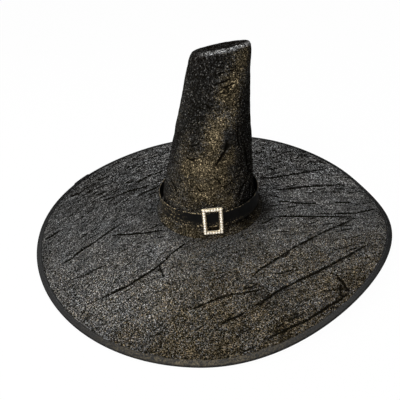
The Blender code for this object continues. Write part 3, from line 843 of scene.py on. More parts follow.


# %% [markdown]
# ## The brim's velvet
# The brim is a flat ring of velvet stretched over a board. In the photograph it is crossed by creases that
# all run the same way, up to the right, because the cloth was folded before it was sewn. The strongest are
# drawn one by one where the photograph shows them, each with a depth: about 0.4 for a faint one, 1 for a
# sharp one, and up to 2 on the far side, which is seen at a low angle. Dents like them cover the rest. The
# cloth lies flat under the binding and at the crown's seam, so its crinkles fade out there. The nap is
# lightest at the front left and behind the crown, partly its own tone and partly painted light, with lighter
# and darker patches, a painted shadow of the crown round its foot, strongest at the right, and painted shade
# towards the rim. The glitter turns golden towards the front and the rim, partly its own colour and partly a
# painted reflection.

# %% Creases of the brim, in pixels of the photograph
LONG_CREASES = {
    "front_upper": (0.75, (191, 310), (200, 306.5), (210, 302.3), (221, 298), (232, 295), (246, 293),
                    (268, 288)),
    "front_right": (1.1, (252, 308.5), (260, 303), (270, 297.5), (281, 290), (300, 281), (320, 271.5),
                    (340, 261), (350, 255.5), (356, 252), (361, 249.2), (365, 247), (368, 245.5)),
    "front_hook": (1.0, (221, 325), (228, 321), (237, 317.5), (242, 315), (246, 311.5)),
    "right_low": (0.95, (253, 277), (260, 270), (270, 264), (282, 256), (292, 249.5), (306, 242),
                  (320, 234.5), (330, 230), (337, 226.8), (343, 224), (348, 221.8), (353, 219.5)),
    "right_rim": (1.0, (268, 339), (280, 333.5), (292, 327.5), (306, 321.5), (318, 314), (330, 306.5),
                  (340, 301), (347, 296)),
    "right_tuck": (1.7, (339, 279), (343, 283), (346, 288), (349, 291)),
    "right_tuck_end": (1.4, (337, 289), (345, 290.5), (349, 292)),
    "right_tuck_low": (1.3, (339, 296), (344, 296.8), (349, 294.5)),
    "right_tuck_in": (1.1, (341, 285), (340, 290), (342, 295)),
    "left_fold": (1.5, (103, 298), (106, 296.7), (109, 295.3), (112, 294), (116, 292), (120, 290), (129, 286),
                  (138, 280), (146, 275), (154, 270), (162, 264)),
    "left_fold_low": (0.5, (83, 307), (90, 304.3), (97, 301), (104, 297.5), (110, 295)),
    "left_fold_high": (0.7, (157, 268), (162, 264), (167, 259), (172, 254), (180, 248), (187, 242.5),
                       (194, 237)),
    "left_fold_spur": (0.9, (159.5, 266), (161, 270), (162.5, 274), (164, 277)),
    "left_upper": (1.0, (62, 265.1), (64, 263.9), (67, 262.1), (72, 259), (80, 252.5), (90, 246), (100, 239),
                   (110, 232), (116, 228), (119, 226), (121, 224.7), (123, 223.4)),
    "left_rim": (1.2, (46, 240), (53, 236), (60, 231.5), (66, 228)),
    "back_right": (1.9, (259, 178.5), (270, 178.6), (280, 177.2), (290, 175.3), (300, 174), (315, 171),
                   (330, 168)),
    "right_upper": (1.9, (257, 191.5), (275, 190.8), (285, 189.7), (300, 188), (312, 187), (325, 186.5),
                    (345, 184.5)),
    "right_level": (1.5, (275, 217), (290, 217), (305, 217.2), (320, 217.3), (335, 217.5), (351, 217.5)),
    "right_end": (1.6, (318, 214.5), (330, 214.7), (345, 214), (357, 213.5), (365, 212), (374, 209.5)),
    "left_level": (1.0, (113, 236), (120, 235.2), (130, 235.2), (136, 234), (146, 233.5), (155, 232),
                   (163, 230.5)),
    "back_left": (2.0, (137, 183), (145, 179), (151, 175.5), (157, 174), (167, 169.5)),
    "back_left_rim": (1.9, (71, 197.5), (76, 195), (79, 194.5), (84, 190.5)),
}
SHORT_CREASES = {
    "front": (
        0.36,
        [(194, 331.5), (200, 328), (208, 323.5)],
        [(228, 353), (240, 353), (250, 349.5), (258, 346.5)],
        [(213, 278), (219, 279), (225, 274.5)],
        [(141, 257.5), (146, 255.5), (150, 257)],
        [(149, 253), (152, 251.5), (156, 251.5)],
        [(166, 282), (170, 285), (174, 284)],
        [(140, 283.5), (150, 280.5), (157, 278)],
        [(123, 304), (130, 299), (135, 295)],
    ),
    "right": (
        0.45,
        [(296, 335.5), (303, 332.5), (308, 330)],
        [(283, 318), (287, 316)],
        [(292, 315.5), (298, 313.5)],
        [(285, 321), (290, 320), (296, 318.5), (306, 319)],
        [(327, 310.5), (333, 311.5)],
        [(322, 292), (332, 291)],
        [(330, 273), (335, 275), (340, 279)],
        [(332, 251), (340, 249.5), (347, 247.5), (354, 244)],
        [(357, 243), (366, 244)],
        [(335, 232), (344, 231), (352, 229.5)],
        [(278, 232), (284, 232.2), (290, 231.5)],
    ),
    "back_right": (
        1.2,
        [(278, 202), (288, 202.5), (300, 203.8), (312, 204.3), (318, 205)],
        [(335, 203), (350, 203)],
        [(270, 196), (276, 197), (279, 198)],
        [(268, 158.5), (273, 158.5), (278, 156), (286, 152.5), (292, 152)],
        [(254, 155), (258, 153), (264, 152)],
        [(296, 158.5), (299, 157), (303, 155.5)],
        [(317, 160.5), (321, 163), (325, 164.5)],
        [(307, 163), (312, 162.5), (316, 163)],
        [(336, 185), (341, 186), (345, 187)],
    ),
    "left": (
        0.38,
        [(64, 283), (75, 279), (85, 275.5), (92, 272), (100, 268), (108, 264.5)],
        [(87, 226), (93, 221.5), (96, 218)],
        [(45, 235), (52, 231), (58, 228)],
        [(128, 219.5), (134, 216.5), (139, 213)],
        [(104, 215), (113, 212)],
        [(77, 213), (85, 210.5), (92, 208), (97, 204)],
    ),
    "back_left": (
        1.3,
        [(96, 196), (100, 194.5), (107, 191.5)],
        [(100, 201.5), (110, 199), (118, 196), (126, 193), (135, 190), (142, 188.5), (150, 186)],
        [(137, 197.5), (143, 193.5), (150, 191), (157, 187.5), (164, 184)],
        [(118, 176), (124, 174.5), (130, 173)],
        [(104, 178.5), (110, 176)],
        [(152, 166), (160, 163.5)],
        [(165, 161), (171, 160)],
        [(160, 154), (170, 151)],
        [(88, 193), (93, 189.5)],
        [(126, 184), (130, 182.5), (134, 181)],
        [(96, 181), (102, 179), (107, 177)],
    ),
}
drawn_creases = [(depth, pixels) for depth, *pixels in LONG_CREASES.values()]
for depth, *drawn in SHORT_CREASES.values():
    drawn_creases += [(depth, pixels) for pixels in drawn]
print("creases drawn on the brim:", len(drawn_creases))

# %% Sizes, patches and painted shadows of the brim
HIDDEN_CREASES = [
    (0.7, [(-0.160, 0.215), (-0.105, 0.240), (-0.060, 0.265)]),
    (0.8, [(-0.060, 0.200), (0.020, 0.235), (0.110, 0.280)]),
    (0.6, [(0.030, 0.150), (0.100, 0.190), (0.150, 0.222)]),
]
HOLD_SEAM, HOLD_TAPE = 0.010, 0.006
BRIM_AROUND, BRIM_RINGS, UNDER_RINGS = 816, 112, 6
NAP_BEARINGS = [20, 90, 150, 190, 235, 268, 315, 345, 380]
# Patches of lighter and darker nap; the three round the crown's foot are the crown's painted shadow,
# strongest at the right.
BRIM_PATCHES_AND_SHADOWS = {
    "right_foot_shadow": (-20.0, 31.0, 0.104, 0.028, -0.90),
    "left_foot_shade": (185.0, 42.0, 0.104, 0.065, -0.25),
    "front_left_foot_shade": (240.0, 32.0, 0.104, 0.020, -0.26),
    "front_right": (-45.0, 20.0, 0.168, 0.036, 0.34),
    "back_right": (27.0, 22.0, 0.155, 0.035, 0.38),
    "front": (-90.0, 20.0, 0.185, 0.036, 0.20),
    "front_left": (-129.0, 13.0, 0.190, 0.026, -0.24),
    "left_rim": (-118.0, 14.0, 0.306, 0.026, -0.22),
    "right_rim": (-11.0, 9.0, 0.306, 0.030, -0.36),
}
# The nap by bearing is partly its own tone and partly painted light, lightest at the front left and behind
# the crown; the gilt by bearing is partly a painted reflection, golden towards the front.
BRIM_NAP_AND_LIGHT = [0.083, 0.085, 0.041, 0.051, 0.085, 0.041, 0.048, 0.063, 0.083]
BRIM_GILT_AND_REFLECTION = [0.0, 0.05, 0.0, 0.0, 0.30, 1.05, 0.70, 0.05, 0.0]
RIM_SHADE, SHADED_REACH = 0.24, (0.296, 0.318)
INNER_GOLD, OUTER_GOLD, GOLDEN_REACH = 0.55, 1.2, (0.15, 0.30)
COARSE_FROM = (-0.20, 0.16)
BRIM_DENTS = {"count": 260, "seed": 21, "length": (0.008, 0.034), "depth": (0.10, 0.45)}
FAR_DEPTH, FAR_FROM = 1.6, (-0.1, 0.2)


def soft(*offsets):
    """1 where every offset is 0, falling off to nothing about two units away."""
    return np.exp(-sum(offset**2 for offset in offsets))


def turn_from(degrees, bearing):
    """Degrees from a bearing, from -180 to 180."""
    return (degrees - bearing + 180) % 360 - 180


# %% Nap, painted light and painted shade of the brim
brim_bearings = circle(BRIM_AROUND)
reaches = np.append(np.linspace(SEAM_REACH + GAP, TAPE_START, BRIM_RINGS), BRIM_EDGE)
under_reaches = np.linspace(BRIM_EDGE, SEAM_REACH + GAP, UNDER_RINGS)
brim_outline = [(r, brim_under(r) + BRIM_STACK) for r in reaches]
brim_outline += [(r, brim_under(r) + BRIM_STACK - CLOTH) for r in under_reaches]
plain = turned_rings(brim_outline, brim_bearings)
free = ease(share(reaches, SEAM_REACH, SEAM_REACH + HOLD_SEAM))
free = free * ease(share(reaches, TAPE_START - GAP, TAPE_START - HOLD_TAPE))
free = np.append(free, np.zeros(len(under_reaches)))
degrees = (np.degrees(brim_bearings) - NAP_BEARINGS[0]) % 360 + NAP_BEARINGS[0]
reach = np.hypot(plain[..., 0], plain[..., 1])
nap_patches_and_shadows = np.ones_like(reach)
for bearing, half_angle, middle, half_depth, change in BRIM_PATCHES_AND_SHADOWS.values():
    nap_patches_and_shadows *= 1.0 + change * soft(turn_from(degrees, bearing) / half_angle, (reach - middle) / half_depth)
# Painted shade towards the rim, and gold that grows towards the rim, partly as a painted reflection.
rim_shade = 1.0 - RIM_SHADE * ease(share(reach, *SHADED_REACH))
rim_gold = INNER_GOLD + (OUTER_GOLD - INNER_GOLD) * share(reach, *GOLDEN_REACH)
print("strongest lightening of the brim nap:", round(float(nap_patches_and_shadows.max()), 2))

# %% Brim velvet
brim_velvet = skin(
    "brim_velvet",
    settle(plain),
    cloth=flat_cloth(plain[..., 0], plain[..., 1]),
    hold=free[:, None],
    nap=nap_patches_and_shadows * rim_shade * np.interp(degrees, NAP_BEARINGS, BRIM_NAP_AND_LIGHT),
    gilt=rim_gold * np.interp(degrees, NAP_BEARINGS, BRIM_GILT_AND_REFLECTION),
    coarse=ease(share(plain[..., 1], *COARSE_FROM)),
)


def brim_spot(draw):
    """A random place on the brim."""
    reach = math.sqrt(draw.uniform(1.1 * SEAM_REACH**2, BRIM_EDGE**2))
    bearing = draw.uniform(0.0, 2 * math.pi)
    return reach * np.array([math.cos(bearing), math.sin(bearing)])


def brim_grain(spot):
    """The grain turns from steep at the left to level at the right."""
    return GRAIN * (1.0 - spot[0] / BRIM_RADIUS)


brim_dents = dents(brim_spot, brim_grain, **BRIM_DENTS)
brim_dents = [(d * (1 + FAR_DEPTH * share(points[1][1], *FAR_FROM)), points) for d, points in brim_dents]
crush_cloth(brim_velvet, on_cloth(brim_velvet, drawn_creases) + HIDDEN_CREASES + brim_dents, brim_velvet_look)
dress(brim_velvet, "hat", "glitter_brim", "brim_top_cover")

# %% [markdown]
# ## The crown's velvet
# The crown is one cut of velvet wrapped round a cone and sewn up behind, with a flared foot that meets the
# brim and a rounded edge at the top. It is made as the brim is, on an outline of its own. The nap is nearly
# black at the sides, and the right side and the right of the foot are darker as painted shade. The golden
# patches from the top right down to the front of the ribbon are a painted highlight of the glitter, taken out
# in a hollow as painted shade: these patches are soft spots, each at a pixel of the photograph. A few slanted
# wrinkles at the right foot get painted highlights, and the rounded top edge has a pale painted highlight.

# %% Crown outline
BUCKLE_BEARING = math.radians(-89.0)
CROWN_AROUND, CROWN_STEP, INSIDE_STEP = 420, 0.0019, 4
EDGE_TURN, EDGE_RINGS, FLARE_RINGS = 80, 7, 12
HELD_FOOT, FREE_FOOT, HELD_TOP, FREE_TOP, TOP_FREEDOM = 0.006, 0.045, 0.002, 0.012, 0.35


def flare(part):
    """Point (r, z) of the crown's flared foot: 0 where it leaves the straight side, 1 at the brim."""
    turn = part * math.pi / 2
    z = BRIM_TOP + FLARE_HEIGHT * (1 - math.sin(turn))
    return cone(z) + FLARE_REACH * (1 - math.cos(turn)), z


def crown_outline():
    """The crown's outside, from the seam round its top down to the seam with the brim."""
    arc = np.radians(np.linspace(0, EDGE_TURN, EDGE_RINGS))
    points = [(TIP_SEAM + TIP_EDGE * math.sin(a), CROWN_TOP - TIP_EDGE * (1 - math.cos(a))) for a in arc]
    high, low = CROWN_TOP - TIP_EDGE, BRIM_TOP + FLARE_HEIGHT
    points += [(cone(z), z) for z in np.linspace(high, low, round((high - low) / CROWN_STEP))]
    return points + [flare(part) for part in np.linspace(0, 1, FLARE_RINGS)[1:]]


def inset(points, depth):
    """The outline moved in along its normals, with level cuts at its ends."""
    points = np.asarray(points, float)
    along = np.gradient(points, axis=0)
    along /= np.linalg.norm(along, axis=1)[:, None]
    normal = np.stack([-along[:, 1], along[:, 0]], axis=1)
    normal[0] = normal[-1] = (0.0, 1.0)
    return points - depth * normal


crown_bearings = circle(CROWN_AROUND, math.degrees(BUCKLE_BEARING) + 180.0)
outside = np.asarray(crown_outline())
inside = inset(outside, CLOTH)[::-1][::INSIDE_STEP]
crown_plain = turned_rings(np.vstack([outside, inside]), crown_bearings)
around_front = (crown_bearings - BUCKLE_BEARING + math.pi) % (2 * math.pi) - math.pi
crown_arc = around_front * 0.5 * (CROWN_BASE_RADIUS + TIP_RADIUS)
crown_height = crown_plain[..., 2]
held_foot = ease(share(outside[:, 1], BRIM_TOP + HELD_FOOT, BRIM_TOP + FREE_FOOT))
free_top = TOP_FREEDOM + (1 - TOP_FREEDOM) * share(CROWN_TOP - outside[:, 1], HELD_TOP, FREE_TOP)
free = np.append(held_foot * free_top, np.zeros(len(inside)))
crown_velvet = skin(
    "crown_velvet",
    settle(crown_plain),
    cloth=flat_cloth(crown_arc[None, :], crown_height),
    hold=free[:, None],
)
print("crown rings:", len(crown_plain))

# %% Painted golden highlights and painted shade of the crown
# Painted highlights: soft spots where the golden glitter is painted lighter, for light that the glitter would
# catch.
GOLD_HIGHLIGHT_SPOTS = {
    "middle_high": ((222, 121), 0.018, 0.020, 0.90),
    "middle_low": ((214, 138), 0.018, 0.032, 1.05),
    "front": ((203, 168), 0.042, 0.026, 0.85),
    "front_low": ((206, 190), 0.048, 0.034, 0.64),
    "left_low": ((174, 182), 0.026, 0.030, 0.26),
    "right_front": ((222, 178), 0.012, 0.040, 0.74),
    "right_fold": ((228, 157), 0.014, 0.018, 0.80),
    "shoulder": ((231, 89), 0.024, 0.030, 0.94),
    "shoulder_edge": ((240, 66), 0.030, 0.030, 0.68),
    "right_side": ((232, 107), 0.016, 0.034, 0.66),
    "left_side": ((184, 150), 0.016, 0.026, 0.30),
    "left_high": ((183, 108), 0.022, 0.040, 0.11),
    "over_ribbon": ((184, 205), 0.040, 0.014, 0.42),
    "over_ribbon_front": ((214, 200), 0.022, 0.014, 0.60),
    "over_ribbon_right": ((227, 203), 0.015, 0.018, 0.58),
}
# Painted highlights on the edges of slanted wrinkles at the right foot.
WRINKLE_HIGHLIGHTS = {
    "long": ((242, 192), 0.0015, 0.018, 0.55),
    "high": ((247, 182), 0.0014, 0.012, 0.45),
    "edge": ((250, 192), 0.0013, 0.012, 0.35),
    "upper": ((243, 172), 0.0012, 0.012, 0.30),
    "low": ((238, 203), 0.0013, 0.010, 0.50),
}
WRINKLE_HIGHLIGHT_NAP = 0.045
# Painted shade in a hollow, where the golden highlight is taken out.
HOLLOW = (226, 144)
HOLLOW_WIDTH, HOLLOW_HEIGHT, HOLLOW_SHADE = 0.008, 0.013, 0.85
# Nap levels: the golden highlight, the dark sides with the right side darker as painted shade, the back, the
# top edge's painted highlight and the foot.
GOLD_HIGHLIGHT_NAP, LEFT_NAP, SHADED_RIGHT_NAP, BACK_NAP, EDGE_HIGHLIGHT_NAP, FOOT_NAP = 0.074, 0.005, 0.003, 0.015, 0.15, 0.026
EDGE_SHINE, FOOT_REACH, CROWN_COARSE = 0.0022, 0.010, 0.3
RIGHT_FOOT_START, RIGHT_FOOT_END, RIGHT_FOOT_SHADE = (0.40, 0.72), (1.9, 2.6), 0.72
SIDE_BLEND, FRONT_UNTIL, BACK_FROM, LIT_EDGE = (-0.03, 0.03), (0.9, 1.7), (1.8, 2.6), (-1.1, -0.1)
PLAIN_GILT, HIGHLIGHT_GILT, FOOT_GILT, FRONT_FOOT_GILT, EDGE_HIGHLIGHT_SILVER = 0.25, 2.8, 0.4, 1.2, 2.0


def crown_patch(pixel, half_width, half_height, slant=0.0):
    """A soft patch on the crown, 1 at a pixel of the photograph and nothing two half sizes away."""
    (_, points), = on_cloth(crown_velvet, [(1.0, [pixel, pixel])])
    above = crown_height - points[0][1]
    aside = crown_arc - points[0][0] - slant * above
    return soft(aside / half_width, above / half_height)


# %% Nap, painted light and painted shade of the crown
# golden is the mask of the painted golden highlight, less in the hollow's painted shade.
golden = np.zeros_like(crown_height)
for pixel, half_width, half_height, gold in GOLD_HIGHLIGHT_SPOTS.values():
    golden = np.maximum(golden, gold * crown_patch(pixel, half_width, half_height))
golden = golden * (1.0 - HOLLOW_SHADE * crown_patch(HOLLOW, HOLLOW_WIDTH, HOLLOW_HEIGHT))
sides = LEFT_NAP + (SHADED_RIGHT_NAP - LEFT_NAP) * ease(share(crown_arc, *SIDE_BLEND))
sides = sides + (BACK_NAP - sides) * ease(share(np.abs(around_front), *BACK_FROM))
front_share = 1 - ease(share(np.abs(around_front), *FRONT_UNTIL))
top_front = front_share * ease(share(around_front, *LIT_EDGE))
# Painted highlight along the rounded top edge at the front.
top_edge_highlight = top_front * soft((crown_height - CROWN_TOP + EDGE_SHINE) / EDGE_SHINE)
flare_top = BRIM_TOP + FLARE_HEIGHT
foot_share = 1 - share(crown_height, flare_top - FOOT_REACH, flare_top + FOOT_REACH)
crown_nap_and_light = sides + (GOLD_HIGHLIGHT_NAP - sides) * golden
# Painted shade on the foot at the right, beside the ribbon.
right_foot_shadow = ease(share(around_front, *RIGHT_FOOT_START)) * (1 - ease(share(around_front, *RIGHT_FOOT_END)))
crown_nap_and_light = crown_nap_and_light + (FOOT_NAP * (1 - RIGHT_FOOT_SHADE * right_foot_shadow) - crown_nap_and_light) * foot_share
# Painted highlights of the wrinkles at the right foot.
for pixel, half_width, half_height, slant in WRINKLE_HIGHLIGHTS.values():
    crown_nap_and_light = np.maximum(crown_nap_and_light, WRINKLE_HIGHLIGHT_NAP * crown_patch(pixel, half_width, half_height, slant))
crown_nap_and_light = crown_nap_and_light + (EDGE_HIGHLIGHT_NAP - crown_nap_and_light) * top_edge_highlight
foot_gilt = (FOOT_GILT + FRONT_FOOT_GILT * front_share) * foot_share
# Gilt makes the painted highlights golden and the top edge's painted highlight silvery.
crown_gilt = np.maximum(PLAIN_GILT + HIGHLIGHT_GILT * golden, foot_gilt) - EDGE_HIGHLIGHT_SILVER * top_edge_highlight
for name, values in (("nap", crown_nap_and_light), ("gilt", crown_gilt), ("coarse", CROWN_COARSE + 0 * crown_nap_and_light)):
    store(crown_velvet.data, name, np.maximum(values, 0.0))
print("golden patches on the crown:", len(GOLD_HIGHLIGHT_SPOTS))

# %% Crown velvet
CROWN_CREASES = [
    (0.7, [(213, 86), (217, 84), (222, 82), (226, 80.5), (232, 78)]),
    (0.6, [(214, 75.5), (219, 73.5), (225, 72), (231, 70.5), (238, 67)]),
    (0.5, [(225, 88), (229, 85.5), (233, 83)]),
    (0.35, [(213, 97), (218, 92), (224, 87.5), (233, 84)]),
    (0.35, [(219, 95), (224, 91.5), (230, 88)]),
    (0.30, [(216, 68), (222, 66), (230, 63), (237, 60.5)]),
    (0.30, [(207, 96), (211, 91), (215, 88)]),
    (0.30, [(228, 95), (233, 91), (237, 86)]),
    (1.3, [(227, 141), (226.5, 146), (225, 150.5), (222, 155), (219, 160), (216, 165)]),
    (0.5, [(187, 145), (192, 146), (196, 145), (200, 142.5)]),
    (0.5, [(186, 157), (191, 159.5), (196, 158)]),
    (0.4, [(205, 103), (208, 106.5), (211, 110)]),
    (0.4, [(166, 178), (169, 184), (172, 191)]),
    (0.4, [(170, 176), (174, 184), (178, 192)]),
    (0.4, [(180, 199), (184, 204), (188, 209)]),
    (0.4, [(196, 185), (200, 190), (203, 191)]),
    (0.6, [(238, 198), (239.5, 191), (242, 186), (246, 181), (251, 176)]),
    (0.5, [(237, 120), (237.5, 130), (237, 138), (239, 147)]),
    (0.4, [(243, 141), (244.5, 150), (246, 160), (247.5, 170)]),
    (0.4, [(249, 183), (249.5, 190), (248, 197)]),
    (0.4, [(213, 177), (217, 179), (221, 184)]),
]
CROWN_DENTS = {"count": 90, "seed": 33, "length": (0.006, 0.020), "depth": (0.06, 0.28)}
DENT_GRAIN, DENTS_START, DENTS_END = math.radians(38.0), 0.06, CROWN_TOP - 0.01


def crown_spot(draw):
    """A random place on the crown's cloth."""
    return np.array([draw.uniform(crown_arc.min(), crown_arc.max()), draw.uniform(DENTS_START, DENTS_END)])


crown_dents = dents(crown_spot, lambda spot: DENT_GRAIN, **CROWN_DENTS)
crush_cloth(
    crown_velvet,
    on_cloth(crown_velvet, CROWN_CREASES) + crown_dents,
    crown_velvet_look,
    Grain_Angle=math.radians(40.0),
    Ridge_Spacing=0.018,
    Ridge_Height=0.0012,
    Fold_Height=0.0016,
    Puff=0.0004,
    Seed=7.0,
)
dress(crown_velvet, "hat", "glitter_cloth", "crown_cover")
slant = math.hypot(CROWN_TOP - BRIM_TOP, CROWN_BASE_RADIUS - TIP_RADIUS)

# %% Tip velvet
TIP_NAP, TIP_GILT, TIP_RINGS, TIP_AROUND, TIP_HOLD = 0.002, 0.1, 16, 144, (0.001, 0.01)
TIP_CREASE = (0.6, [(-0.02, 0.0), (0.0, 0.006), (0.02, 0.010)])
tip_reaches = np.linspace(TIP_SEAM - GAP, 0.0, TIP_RINGS)
tip_outline = [(r, CROWN_TOP) for r in tip_reaches]
tip_outline += [(r, CROWN_TOP - CLOTH) for r in tip_reaches[::-1]]
tip_plain = turned_rings(tip_outline, circle(TIP_AROUND))
tip_free = np.append(ease(share(TIP_SEAM - tip_reaches, *TIP_HOLD)), 0 * tip_reaches)
tip_velvet = skin(
    "tip_velvet",
    settle(tip_plain),
    cloth=flat_cloth(tip_plain[..., 0], tip_plain[..., 1]),
    hold=tip_free[:, None],
    nap=np.full((1, 1), TIP_NAP),
    gilt=np.full((1, 1), TIP_GILT),
)


def weld(body):
    """Joins points that lie on each other, such as a ring drawn in to a pole."""
    work = bmesh.new()
    work.from_mesh(body.data)
    bmesh.ops.remove_doubles(work, verts=work.verts, dist=1e-6)
    bmesh.ops.dissolve_degenerate(work, edges=work.edges, dist=1e-7)
    work.to_mesh(body.data)
    work.free()


weld(tip_velvet)
crush_cloth(tip_velvet, [TIP_CREASE], crown_velvet_look, Ridge_Height=0.0006, Puff=0.0003)
dress(tip_velvet, "hat", "glitter_cloth", "tip_cover")

# %% [markdown]
# ## The binding round the rim
# A satin tape is folded over the rim's wire and sewn down on both sides. A curve with a bevel could stand
# for it, but the real tape is a flat strip: its free edge wanders a little, it puckers where the rim
# curls, and its end laps over its start at the back left. So its outline is skinned as the cloths are, with
# small waves along the rim. The fold turns away from the light, so it gets painted shade. The tape's shine is
# a painted sheen that is dull across the back, and golden dust lies on the tape at the front.

# %% Rim tape
TAPE_HALF = BRIM_STACK / 2 + GAP
TAPE_MIDDLE = RIM_UNDER + BRIM_STACK / 2
TAPE_AROUND, FOLD_POINTS = 900, 17
LAP_BEARING, LAP_HALF, LAP_FADE, LAP_RISE = 153.0, 4.0, 0.3, 0.0012
EDGE_WANDER, WANDERS, PUCKER, PUCKERS = 0.0004, (23, 41, 67), 0.00025, (97, 151, 203, 260)
DUSTY_BEARING, DUSTY_HALF, TAPE_DUST = 264.0, 20.0, 0.27
DULL_BEARING, DULL_HALF, DULL_FADE, TAPE_SHINE = 70.0, 88.0, 40.0, 0.72
FOLD_SHADE, SHADED_FOLD = 0.85, (0.0027, 0.0015)


def waves(bearing, counts, seed):
    """A sum of sines round the hat, about from -1 to 1, with fixed random starts."""
    starts = np.random.default_rng(seed).uniform(0, 2 * math.pi, len(counts))
    total = sum(np.sin(count * bearing + start) for count, start in zip(counts, starts))
    return total / math.sqrt(len(counts))


def folded(width, half, reach, edge):
    """Half an outline of the tape, from its upper edge round the fold to its lower edge."""
    turns = np.radians(np.linspace(90, -90, FOLD_POINTS))
    fold = [(BRIM_EDGE + reach * math.cos(a), half * math.sin(a)) for a in turns]
    flat = [BRIM_EDGE - width * part for part in (1.0, 0.75, 0.5, 0.25)]
    upper = [(flat[0] + edge, half)] + [(r, half) for r in flat[1:]]
    return np.array(upper + fold + [(r, -z) for r, z in upper[::-1]])


# %% Rings of the tape
tape_bearings = circle(TAPE_AROUND)
tape_side = BRIM_EDGE - TAPE_START
outer = folded(tape_side, TAPE_HALF + TAPE, BRIM_RADIUS - BRIM_EDGE, TAPE / 3)
hem = np.array([(TAPE_START, -TAPE_HALF - TAPE / 2)])
inner = folded(tape_side, TAPE_HALF, BRIM_RADIUS - TAPE - BRIM_EDGE, TAPE / 3)
tape_profile = np.vstack([outer, hem, inner[::-1], hem * (1, -1)])
on_top = np.concatenate([outer[:, 1] > 0, [False], inner[::-1, 1] > 0, [True]])
near_edge = share(tape_profile[:, 0], BRIM_EDGE, TAPE_START)[:, None]
is_outer = np.arange(len(tape_profile))[:, None] < len(outer)
tape_degrees = np.degrees(tape_bearings)
lap = 1 - share(np.abs(turn_from(tape_degrees, LAP_BEARING)), LAP_HALF, LAP_HALF + LAP_FADE)
puckers = 0.5 + 0.5 * waves(tape_bearings, PUCKERS, 3)
tape_r = tape_profile[:, :1] + near_edge * EDGE_WANDER * waves(tape_bearings, WANDERS, 5)
tape_r = tape_r + is_outer * (1 - near_edge) * LAP_RISE * lap
tape_z = TAPE_MIDDLE + tape_profile[:, 1:] + on_top[:, None] * near_edge * PUCKER * puckers
tape_z = tape_z + is_outer * on_top[:, None] * LAP_RISE * lap
tape_rings = np.stack([tape_r * np.cos(tape_bearings), tape_r * np.sin(tape_bearings), tape_z], axis=-1)
tape_across = np.cumsum(np.hypot(*np.diff(tape_profile, axis=0, prepend=tape_profile[:1]).T))
tape_dust = TAPE_DUST * soft(turn_from(tape_degrees, DUSTY_BEARING) / DUSTY_HALF)
# The tape's shine is a painted sheen, dull across the back, and lit_side is painted shade on the fold, over
# the dust as well.
from_dull = np.abs(turn_from(tape_degrees, DULL_BEARING))
tape_shine = TAPE_SHINE * ease(share(from_dull, DULL_HALF, DULL_HALF + DULL_FADE))
lit_side = 1.0 - FOLD_SHADE * ease(share(tape_profile[:, 1:], *SHADED_FOLD))
rim_tape = skin(
    "rim_tape",
    settle(tape_rings),
    cloth=flat_cloth(tape_bearings[None, :] * BRIM_RADIUS, tape_across[:, None]),
    dust=tape_dust * lit_side,
    shine=lit_side * tape_shine,
)
rim_tape.data.materials.append(tape_look)
dress(rim_tape, "hat", "satin_tape", "brim_binding")

# %% [markdown]
# ## The brim's facing
# Under the brim lies a plain black cloth that nobody looks at until the hat is lifted. It is a second ring
# like the velvet, with finer threads and only a faint slackness.

# %% Brim facing
FACING_INSET = 0.0021
FACING_START = cone(BRIM_UNDER) - FACING_INSET
FACING_AROUND, FACING_RINGS, HIDDEN_STEP = 480, 60, 5
FACING_CREASES = [(0.6, [(-0.25, 0.02), (-0.16, 0.05)]), (0.6, [(0.12, -0.18), (0.22, -0.15)])]
facing_reaches = np.append(np.linspace(FACING_START, TAPE_START, FACING_RINGS), BRIM_EDGE)
facing_outline = [(r, brim_under(r) + CLOTH) for r in facing_reaches[::HIDDEN_STEP]]
facing_outline += [(BRIM_EDGE, brim_under(BRIM_EDGE) + CLOTH)]
facing_outline += [(r, brim_under(r)) for r in facing_reaches[::-1]]
facing_plain = turned_rings(facing_outline, circle(FACING_AROUND))
hidden = len(facing_outline) - len(facing_reaches)
slack = ease(share(facing_reaches, FACING_START, FACING_START + HOLD_SEAM))
slack = slack * ease(share(facing_reaches, TAPE_START - GAP, TAPE_START - HOLD_TAPE))
slack = np.concatenate([np.zeros(hidden), slack[::-1]])
brim_facing = skin(
    "brim_facing",
    settle(facing_plain),
    cloth=flat_cloth(facing_plain[..., 0], facing_plain[..., 1]),
    hold=slack[:, None],
)
crush_cloth(
    brim_facing,
    FACING_CREASES,
    facing_look,
    Ridge_Spacing=0.030,
    Ridge_Height=0.0012,
    Fold_Height=0.0014,
    Groove_Depth=0.0006,
    Puff=0.0002,
    Seed=11.0,
)
dress(brim_facing, "hat", "under_cloth", "brim_under_cover")

# %% [markdown]
# ## Lining and sweatband
# Inside the crown hangs a thin satin lining, a little loose, so it falls into soft upright pleats that the
# sweatband gathers at the opening. The sweatband is a ribbed ribbon whose lower edge is turned over.

# %% Lining
LINING, LINING_OFFSET, LINING_LOOSE = 0.0004, 0.0024, 0.0012
SWEATBAND, SWEATBAND_OFFSET, SWEATBAND_HEIGHT = 0.0006, 0.0031, 0.032
PLEAT_DEPTH, PLEATS = 0.0016, (17, 26, 31)
LINING_AROUND, LINING_RINGS, LINING_STEP, LINING_MIDDLE = 320, 72, 6, 0.07
GATHER_FADE, TIGHT_TOP = 0.03, 0.8

